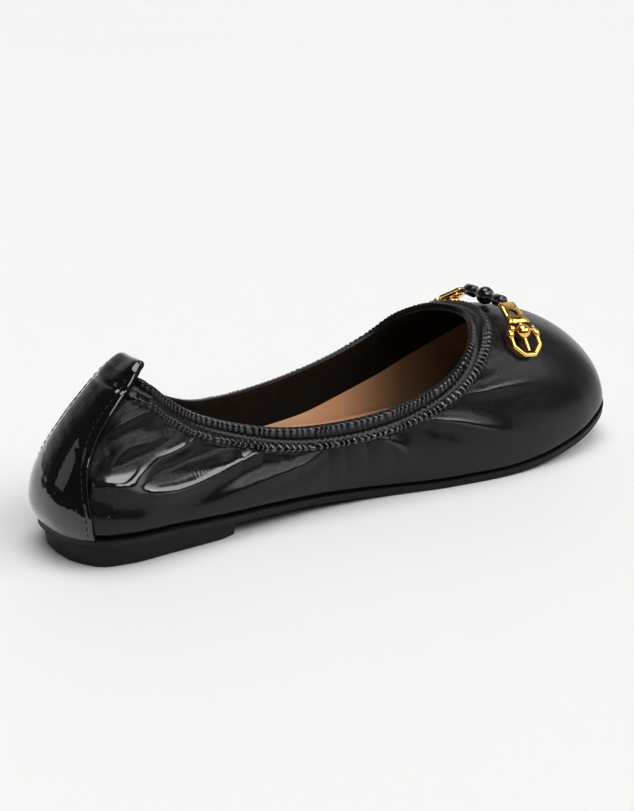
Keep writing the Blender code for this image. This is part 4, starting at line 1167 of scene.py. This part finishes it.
class FLAT_OT_back_strap(bpy.types.Operator):
    """Patent strap over the heel, rolled over the topline into a tab, with its stitches"""

    bl_idname = "flat.make_back_strap"
    bl_label = "Back strap"

    def execute(self, context):
        finish = make_finishes(context)
        across = np.linspace(-1, 1, STRAP_ACROSS)
        up = np.linspace(0, 1, STRAP_ALONG)
        place_at, normal = strap_place(across[:, None] + 0 * up[None, :], up[None, :] + 0 * across[:, None])
        far = CLEARANCE + STRAP_THICKNESS
        width = np.linalg.norm(np.diff(place_at, axis=0), axis=2).sum(0)
        from_edge = (1 - np.abs(across))[:, None] * width[None, :] / 2
        seam = np.exp(-((from_edge - STRAP_SEAM_IN * MM) / (0.45 * MM)) ** 2) * 0.16 * MM
        rounded = np.exp(-from_edge / (0.35 * MM)) * 0.22 * MM
        dents = (wander(up[None, :] * 15 + across[:, None] * 1.3, 0.3) * 0.10
                 + wander(up[None, :] * 38 + across[:, None] * 3.1, 2.2) * 0.035) * MM
        puff = 0.18 * MM * ease(from_edge, 2.2 * MM, 4.5 * MM)
        pinch = -0.5 * MM * np.exp(-((up[None, :] - 0.90) / 0.018) ** 2) * (1 - 0.3 * np.cos(across * 5.0))[:, None]
        off = far - seam - rounded + dents * ease(up, 0.02, 0.1)[None, :] + puff + pinch
        outer = place_at + normal * off[..., None]
        inner = place_at + normal * CLEARANCE
        outer[:, 0, 2] = sole_top(outer[:, 0, 0]) + CLEARANCE
        inner[:, 0, 2] = sole_top(inner[:, 0, 0]) + CLEARANCE
        top = place_at[:, -1]
        out = normal[:, -1]
        rise = place_at[:, -1] - place_at[:, -2]
        rise -= out * (rise * out).sum(1)[:, None]
        rise /= np.linalg.norm(rise, axis=1, keepdims=True)
        radius = (UPPER_WALL + 2 * far) / 2
        middle = far - radius
        high = TAB_RISE * (1 - 0.10 * across ** 2) + 0.25 * MM * np.sin(across * 4 + 0.6)

        def raised(height, off):
            """Line across the tab, a height above the topline and off the last's surface."""
            lean = TAB_LEAN * (height / TAB_RISE) ** 2
            return top + rise * height[:, None] + out * (off - lean)[:, None]

        sheets = []
        for layer in (far, CLEARANCE):
            bend = radius - (far - layer)
            leaves = [raised(high * share * 0.62, layer) for share in (0.2, 0.45, 0.7)]
            for angle in np.linspace(0, math.pi, 15):
                leaves.append(raised(high - radius + bend * math.sin(angle), middle + bend * math.cos(angle)))
            leaves.append(raised(high * 0.30, middle - bend))
            leaves.append(raised(high * 0.0, middle - bend))
            flap_up = 1 - TAB_FLAP / np.linalg.norm(np.diff(place_at, axis=1), axis=2).sum(1)
            for share in (0.35, 0.7, 1.0):
                flap, flap_out = strap_place(across, 1 + (flap_up - 1) * share)
                leaves.append(flap - flap_out * (UPPER_WALL + layer))
            sheets.append(np.stack(leaves, 1))
        outer = np.concatenate([outer, sheets[0]], 1)
        inner = np.concatenate([inner, sheets[1]], 1)
        section = np.concatenate([outer, inner[:, ::-1]], 1)
        columns, rows = section.shape[:2]
        skin_faces = quads(columns, rows, False, True)
        half = rows // 2
        k = np.arange(half - 1)
        first = np.stack([k, k + 1, rows - 2 - k, rows - 1 - k], -1)
        last = (first + (columns - 1) * rows)[:, ::-1]
        faces = np.concatenate([skin_faces, first, last])
        place_in = np.arange(len(skin_faces)) % rows
        number = np.where(place_in < half - 1, 0, 1)
        number = np.concatenate([number, np.ones(len(first) + len(last), int)])
        piece = new_piece("back_strap_patent", section, faces, ([finish["patent"], finish["edge"]], number),
                          "back_strap", sharp=50)
        builder = bmesh.new()
        builder.from_mesh(piece.data)
        bmesh.ops.recalc_face_normals(builder, faces=builder.faces)
        builder.to_mesh(piece.data)
        builder.free()
        share = np.linspace(0.02, 0.97, 160)
        for name, end in (("medial", 1.0), ("lateral", -1.0)):
            wide = np.interp(share, up, width)
            at = end * (1 - 2 * STRAP_SEAM_IN * MM / wide)
            line, line_out = strap_place(at, share)
            stitch_row("strap_stitches_" + name, line + line_out * (far - 0.10 * MM), line_out, STRAP_STITCH,
                       finish["thread"], "back_strap")
        line, line_out = strap_place(np.linspace(-0.86, 0.86, 60), np.full(60, 0.955))
        stitch_row("tab_stitches", line + line_out * (far + 0.02 * MM), line_out, STRAP_STITCH, finish["thread"],
                   "back_strap")
        return {"FINISHED"}


class FLAT_OT_sole(bpy.types.Operator):
    """Thin rubber outsole with its lip, and the heel block"""

    bl_idname = "flat.make_sole"
    bl_label = "Sole"

    def execute(self, context):
        finish = make_finishes(context)
        row, _ = ring(SOLE_RING)
        lip = LIP_PROUD * (1 - 0.6 * np.clip((row - 4) / 4, 0, 1))
        high = np.linspace(0, 1, 17)
        width = curve(EDGE_COLUMNS, EDGE_ROWS, "lip", high)
        high = np.concatenate([[0.0], high, [1.0]])
        width = np.concatenate([[-0.6], width, [-0.8]])
        levels = np.stack([outline(-share * lip, SOLE_RING) for share in width])
        heights = sole_under(levels[..., 0]) + sole_thick(levels[..., 0]) * high[:, None]
        points, faces = drum(levels, heights)
        clean(new_piece("outsole_rubber", points, faces, finish["rubber"], "outsole", sharp=35))
        rows = np.linspace(0, LAST_ROW, 600)
        along = foot_point(rows, -np.ones(600))[0][:, 0]
        front = float(np.interp(BREAST_AT * LENGTH, along, rows))
        row = np.linspace(0, front, 161)
        one = np.ones(161)
        near, near_out = foot_point(row, -one)
        far, far_out = foot_point(row, one)
        share = column(BLOCK_COLUMNS, BLOCK_ROWS, "high")
        inset = BLOCK_INSET + BLOCK_TAPER * column(BLOCK_COLUMNS, BLOCK_ROWS, "inset")
        share = np.concatenate([[0.0], share, [1.0]])
        inset = np.concatenate([[inset[0] + 1.0 * MM], inset, [inset[-1] + 1.0 * MM]])
        corner = ease(row, front - 0.35, front) ** 2 * 0.9 * MM
        levels = []
        for step in inset:
            levels.append(np.concatenate([near - near_out * (step + corner)[:, None],
                                          (far - far_out * (step + corner)[:, None])[:0:-1]]))
        levels = np.stack(levels)
        edge = BREAST_AT * LENGTH - 0.9 * MM * (1 - ease(share, 0.0, 0.12))[:, None]
        levels[..., 0] = np.minimum(levels[..., 0], edge)
        heights = (sole_under(levels[..., 0]) - CLEARANCE) * share[:, None]
        points, faces = drum(levels, heights)
        clean(new_piece("heel_block", points, faces, finish["rubber"], "heel", sharp=35))
        return {"FINISHED"}


class FLAT_OT_insole(bpy.types.Operator):
    """Tan insole, softly dished, padded at the waist, with a rolled edge"""

    bl_idname = "flat.make_insole"
    bl_label = "Insole"

    def execute(self, context):
        finish = make_finishes(context)
        inset = UPPER_WALL + CLEARANCE
        levels = np.stack([outline(inset + step * MM, SOLE_RING)
                           for step in column(INSOLE_COLUMNS, INSOLE_ROWS, "inset")])
        rise = column(INSOLE_COLUMNS, INSOLE_ROWS, "high")[:, None] * INSOLE_THICKNESS
        pad = 1 + INSOLE_PAD * np.exp(-((levels[..., 0] / LENGTH - PAD_AT) / PAD_REACH) ** 2)
        heights = sole_top(levels[..., 0]) + CLEARANCE + rise * pad
        points, faces = drum(levels, heights)
        clean(new_piece("insole_leather", points, faces, finish["insole"], "insole", sharp=35))
        return {"FINISHED"}


def vamp_height(x, y):
    """Height of the vamp over a place on plan, from the nearest points of a fine grid of it."""
    front = np.linspace(8, LAST_ROW, 160)
    row = np.concatenate([front, front])
    side = np.repeat([-1.0, 1.0], 160)
    points = along_rib(ribs(row, side), np.broadcast_to(np.linspace(0.3, 1.0, 160), (320, 160))).reshape(-1, 3)
    away = (points[:, 0] - x) ** 2 + (points[:, 1] - y) ** 2
    near = np.argsort(away)[:8]
    weight = 1 / (away[near] + 1e-12)
    return float((points[near, 2] * weight).sum() / weight.sum())


def bit_frames():
    """Middle of the ornament on the vamp, its pitch, and how far plate and link tip down on each side."""
    row = np.array([float(LAST_ROW)])
    side = np.array([-1.0])
    _, length = rib_runs(row, side, 48)
    place_at, normal = skin(row, side, (length - BIT_AT)[:, None])
    middle = place_at[0, 0]
    normal = normal[0, 0]
    pitch = math.atan2(normal[0], normal[2])
    end = BAR_LENGTH / 2
    bends = (0.0, end, end + PLATE_LENGTH, end + PLATE_LENGTH + LINK_LENGTH)
    frames = {}
    for name, way in (("medial", -1), ("lateral", 1)):
        high = [vamp_height(middle[0], middle[1] + way * reach) for reach in bends]
        plate = math.atan2(high[1] - high[2], bends[2] - bends[1])
        link = math.atan2(high[2] - high[3], bends[3] - bends[2]) * LINK_DROOP
        frames[name] = (middle + normal * BIT_LIFT, pitch, plate, link, way)
    return frames


def tipped(points, angle, hinge):
    """Points turned down about the line y = hinge, z = 0."""
    y = points[:, 1] - hinge
    z = points[:, 2]
    c = math.cos(angle)
    s = math.sin(angle)
    return np.stack([points[:, 0], hinge + y * c + z * s, z * c - y * s], 1)


def set_in(points, place_in, piece):
    """Puts points of the bar, or of an arm drawn along +y from the bar's end, in place on the vamp."""
    origin, pitch, plate, link, way = place_in
    points = np.asarray(points, float).reshape(-1, 3)
    if piece == "link":
        points = tipped(points, link - plate, PLATE_LENGTH)
    if piece != "bar":
        points = tipped(points, plate, 0.0)
        points = points * (1, way, 1) + (0, way * BAR_LENGTH / 2, 0)
    c = math.cos(pitch)
    s = math.sin(pitch)
    pitched = np.stack([points[:, 0] * c + points[:, 2] * s, points[:, 1], points[:, 2] * c - points[:, 0] * s], 1)
    return pitched + origin


def ball_rows(y, radius, steps, most):
    """Profile rows (y, r) of a ball round y, from -most to most degrees."""
    angles = np.radians(np.linspace(-most, most, steps))
    return [(y + radius * math.sin(a), radius * math.cos(a)) for a in angles]


def plate_grid():
    """Tapered plate with a round hole: rings run from the hole's rim out to the outline, top and bottom."""
    a = np.arange(PLATE_RING) * 2 * math.pi / PLATE_RING
    hole = np.stack([np.cos(a), np.sin(a)], 1) * PLATE_HOLE / 2
    low = CLEARANCE - PLATE_LENGTH * 0.52
    high = PLATE_LENGTH * 0.48
    slope = (PLATE_WIDE - PLATE_NARROW) / 2 / PLATE_LENGTH
    mid = PLATE_NARROW / 2 + slope * PLATE_LENGTH * 0.52
    reach = np.minimum(np.where(np.sin(a) > 1e-6, high / np.maximum(np.sin(a), 1e-6), 1.0),
                       np.where(np.sin(a) < -1e-6, low / np.minimum(np.sin(a), -1e-6), 1.0))
    sides = mid / np.maximum(np.abs(np.cos(a)) - slope * np.sin(a), 1e-6)
    reach = np.minimum(reach, sides)
    rim = np.stack([np.cos(a), np.sin(a)], 1) * reach[:, None]
    half = PLATE_THICKNESS / 2
    soft = 0.22 * MM
    wider = hole * (1 + soft / PLATE_HOLE * 1.2)
    narrower = rim - rim / reach[:, None] * soft
    rings = [(hole, -half + soft), (wider, -half), (narrower, -half), (rim, -half + soft),
             (rim, half - soft), (narrower, half), (wider, half), (hole, half - soft)]
    points = np.stack([np.concatenate([flat, np.full((PLATE_RING, 1), z)], 1) for flat, z in rings], 1)
    points[..., 1] += PLATE_LENGTH * 0.52
    return points.reshape(-1, 3), quads(PLATE_RING, len(rings), True, True)


def link_path():
    """Link's middle line with rounded corners and the wire's radius, swelling to a bead at each corner."""
    corners = np.stack([column(LINK_COLUMNS, LINK_ROWS, "across") * LINK_WIDTH,
                        column(LINK_COLUMNS, LINK_ROWS, "out") * LINK_LENGTH], 1)
    way = np.concatenate([[0.0], np.cumsum(np.linalg.norm(np.diff(corners, axis=0), axis=1))])
    fine = np.linspace(0, way[-1], 150)
    path = np.stack([np.interp(fine, way, corners[:, k]) for k in range(2)], 1)
    kernel = np.hanning(9)
    kernel /= kernel.sum()
    padded = np.concatenate([np.repeat(path[:1], 4, 0), path, np.repeat(path[-1:], 4, 0)])
    path = np.stack([np.convolve(padded[:, k], kernel, "valid") for k in range(2)], 1)
    near = np.abs(fine[:, None] - np.array([way[0], way[1], way[-2], way[-1]])).min(1)
    radius = LINK_WIRE + (LINK_BEAD - LINK_WIRE) * np.sqrt(np.clip(1 - (near / (LINK_BEAD * 1.05)) ** 2, 0, 1))
    return path, radius


class FLAT_OT_ornament(bpy.types.Operator):
    """Bit ornament: enamelled bar, plates, balls and open links"""

    bl_idname = "flat.make_ornament"
    bl_label = "Ornament"

    def execute(self, context):
        finish = make_finishes(context)
        frames = bit_frames()
        along = column(BAR_COLUMNS, BAR_ROWS, "along") * (BAR_LENGTH / 2 - CLEARANCE)
        thick = column(BAR_COLUMNS, BAR_ROWS, "thick") * BAR_RADIUS
        profile = list(zip(-along, thick)) + ball_rows(0.0, BEAD_RADIUS, 25, 58)
        profile += list(zip(along[::-1], thick[::-1]))
        points, faces = turned(profile, 64)
        self.make("bit_bar_enamel", set_in(points, frames["medial"], "bar"), faces, finish["lacquer"], "bit_bar",
                  "black_lacquer")
        for name in ("medial", "lateral"):
            place_in = frames[name]
            points, faces = plate_grid()
            self.make("bit_plate_gilt_" + name, set_in(points, place_in, "plate"), faces, finish["gold"],
                      "bit_plate_" + name, "gold_metal")
            start = PLATE_LENGTH + CLEARANCE
            stop = start + LINK_LENGTH * 0.92 + LINK_BEAD - LINK_WIRE - CLEARANCE * 2
            profile = [(start, 0), (start, LINK_WIRE)]
            profile += ball_rows(start + BALL_RADIUS + CLEARANCE, BALL_RADIUS, 29, 74)
            profile += [(stop, LINK_WIRE), (stop, 0)]
            points, faces = turned(profile, 64)
            self.make("bit_ball_gilt_" + name, set_in(points, place_in, "link"), faces, finish["gold"],
                      "bit_ball_" + name, "gold_metal")
            path, radius = link_path()
            points, faces = tube(path, radius, 20)
            points[:, 1] += start + LINK_BEAD
            self.make("bit_link_gilt_" + name, set_in(points, place_in, "link"), faces, finish["gold"],
                      "bit_link_" + name, "gold_metal")
        return {"FINISHED"}

    def make(self, name, points, faces, material, node, slot):
        """One hard piece of the ornament, from faces of any count of corners."""
        mesh = bpy.data.meshes.new(name)
        mesh.from_pydata((points + PLACE).tolist(), [], [list(f) for f in faces])
        mesh.materials.append(material)
        piece = bpy.data.objects.new(name, mesh)
        bpy.context.scene.collection.objects.link(piece)
        clean(piece)
        mesh.shade_smooth()
        mesh.set_sharp_from_angle(angle=math.radians(50))
        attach(piece, "root")
        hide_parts(node)


def area_light(name, place_at, target, size, power):
    """A rectangular lamp at a place, turned to a target; size is its two sides."""
    light = bpy.data.lights.new(name, "AREA")
    light.shape = "RECTANGLE"
    light.size, light.size_y = size
    light.energy = power
    lamp = bpy.data.objects.new(name, light)
    lamp.location = place_at
    lamp.rotation_euler = (Vector(target) - Vector(place_at)).to_track_quat("-Z", "Y").to_euler()
    bpy.context.scene.collection.objects.link(lamp)


class FLAT_OT_stage(bpy.types.Operator):
    """Pale floor, soft studio light and the camera"""

    bl_idname = "flat.make_stage"
    bl_label = "Stage"

    def execute(self, context):
        stage = context.scene.flat_stage
        mesh = bpy.data.meshes.new("studio_floor")
        corners = [(x * FLOOR_HALF, y * FLOOR_HALF, -FLOOR_DROP) for x, y in ((-1, -1), (1, -1), (1, 1), (-1, 1))]
        mesh.from_pydata(corners, [], [(0, 1, 2, 3)])
        mesh.materials.append(floor_finish(tuple(stage.floor)))
        floor = bpy.data.objects.new("studio_floor", mesh)
        context.scene.collection.objects.link(floor)
        for name, energy, angle, toward in SUN_ROWS:
            sun = bpy.data.lights.new(name, "SUN")
            sun.energy = energy * stage.light
            sun.angle = math.radians(angle)
            lamp = bpy.data.objects.new(name, sun)
            lamp.rotation_euler = Vector(toward).to_track_quat("Z", "Y").to_euler()
            context.scene.collection.objects.link(lamp)
        area_light("softbox_left", (-1.2, 0.6, 0.5), (0, 0, 0.02), (0.5, 0.55), 0.42 * stage.light)
        world = bpy.data.worlds.new("studio")
        world.use_nodes = True
        tree = world.node_tree
        ahead = add(tree, "ShaderNodeVectorMath", {0: place(tree, "Generated"), 1: (0.62, 0.74, -0.25)},
                    operation="DOT_PRODUCT")
        room = tint(tree, ramp(tree, ahead.outputs["Value"], 0, 1, 0.2, 0.9), (0.06, 0.06, 0.06), (0.90, 0.90, 0.90))
        tree.links.new(room, tree.nodes["Background"].inputs["Color"])
        tree.nodes["Background"].inputs["Strength"].default_value = stage.light
        context.scene.world = world
        camera = bpy.data.objects.new("camera", bpy.data.cameras.new("camera"))
        camera.data.lens = stage.lens
        camera.data.sensor_width = 36
        camera.data.clip_start = 0.01
        camera.location = Vector(CAMERA_AT) + Vector(PLACE)
        target = Vector(CAMERA_AIM)
        camera.rotation_euler = (target - camera.location).to_track_quat("-Z", "Y").to_euler()
        context.scene.collection.objects.link(camera)
        context.scene.camera = camera
        context.scene.view_settings.view_transform = "Standard"
        context.scene.view_settings.gamma = 0.88
        return {"FINISHED"}


class FLAT_PT_panel(bpy.types.Panel):
    """Lists the shoe's settings and pieces"""

    bl_idname = "FLAT_PT_panel"
    bl_label = "Ballet flat"
    bl_space_type = "VIEW_3D"
    bl_region_type = "UI"
    bl_category = "Ballet flat"

    def draw(self, context):
        for settings in (context.scene.flat_colors, context.scene.flat_relief, context.scene.flat_stage):
            box = self.layout.box()
            for name in settings.__annotations__:
                box.prop(settings, name)
        for operator in OPERATORS:
            self.layout.operator(operator.bl_idname)


GROUPS = (("flat_colors", FlatColors), ("flat_relief", FlatRelief), ("flat_stage", FlatStage))
OPERATORS = (FLAT_OT_stage, FLAT_OT_upper, FLAT_OT_topline, FLAT_OT_back_strap, FLAT_OT_sole, FLAT_OT_insole,
             FLAT_OT_ornament)


def register():
    """Registers the settings, the operators and the panel."""
    for name, settings in GROUPS:
        bpy.utils.register_class(settings)
        setattr(bpy.types.Scene, name, bpy.props.PointerProperty(type=settings))
    for kind in (*OPERATORS, FLAT_PT_panel):
        bpy.utils.register_class(kind)


def unregister():
    """Takes everything off again."""
    for kind in reversed((*OPERATORS, FLAT_PT_panel)):
        bpy.utils.unregister_class(kind)
    for name, settings in reversed(GROUPS):
        delattr(bpy.types.Scene, name)
        bpy.utils.unregister_class(settings)


def main():
    """Makes the whole shoe and its stage."""
    register()
    for operator in OPERATORS:
        group_name, call = operator.bl_idname.split(".")
        getattr(getattr(bpy.ops, group_name), call)()


if __name__ == "__main__":
    main()
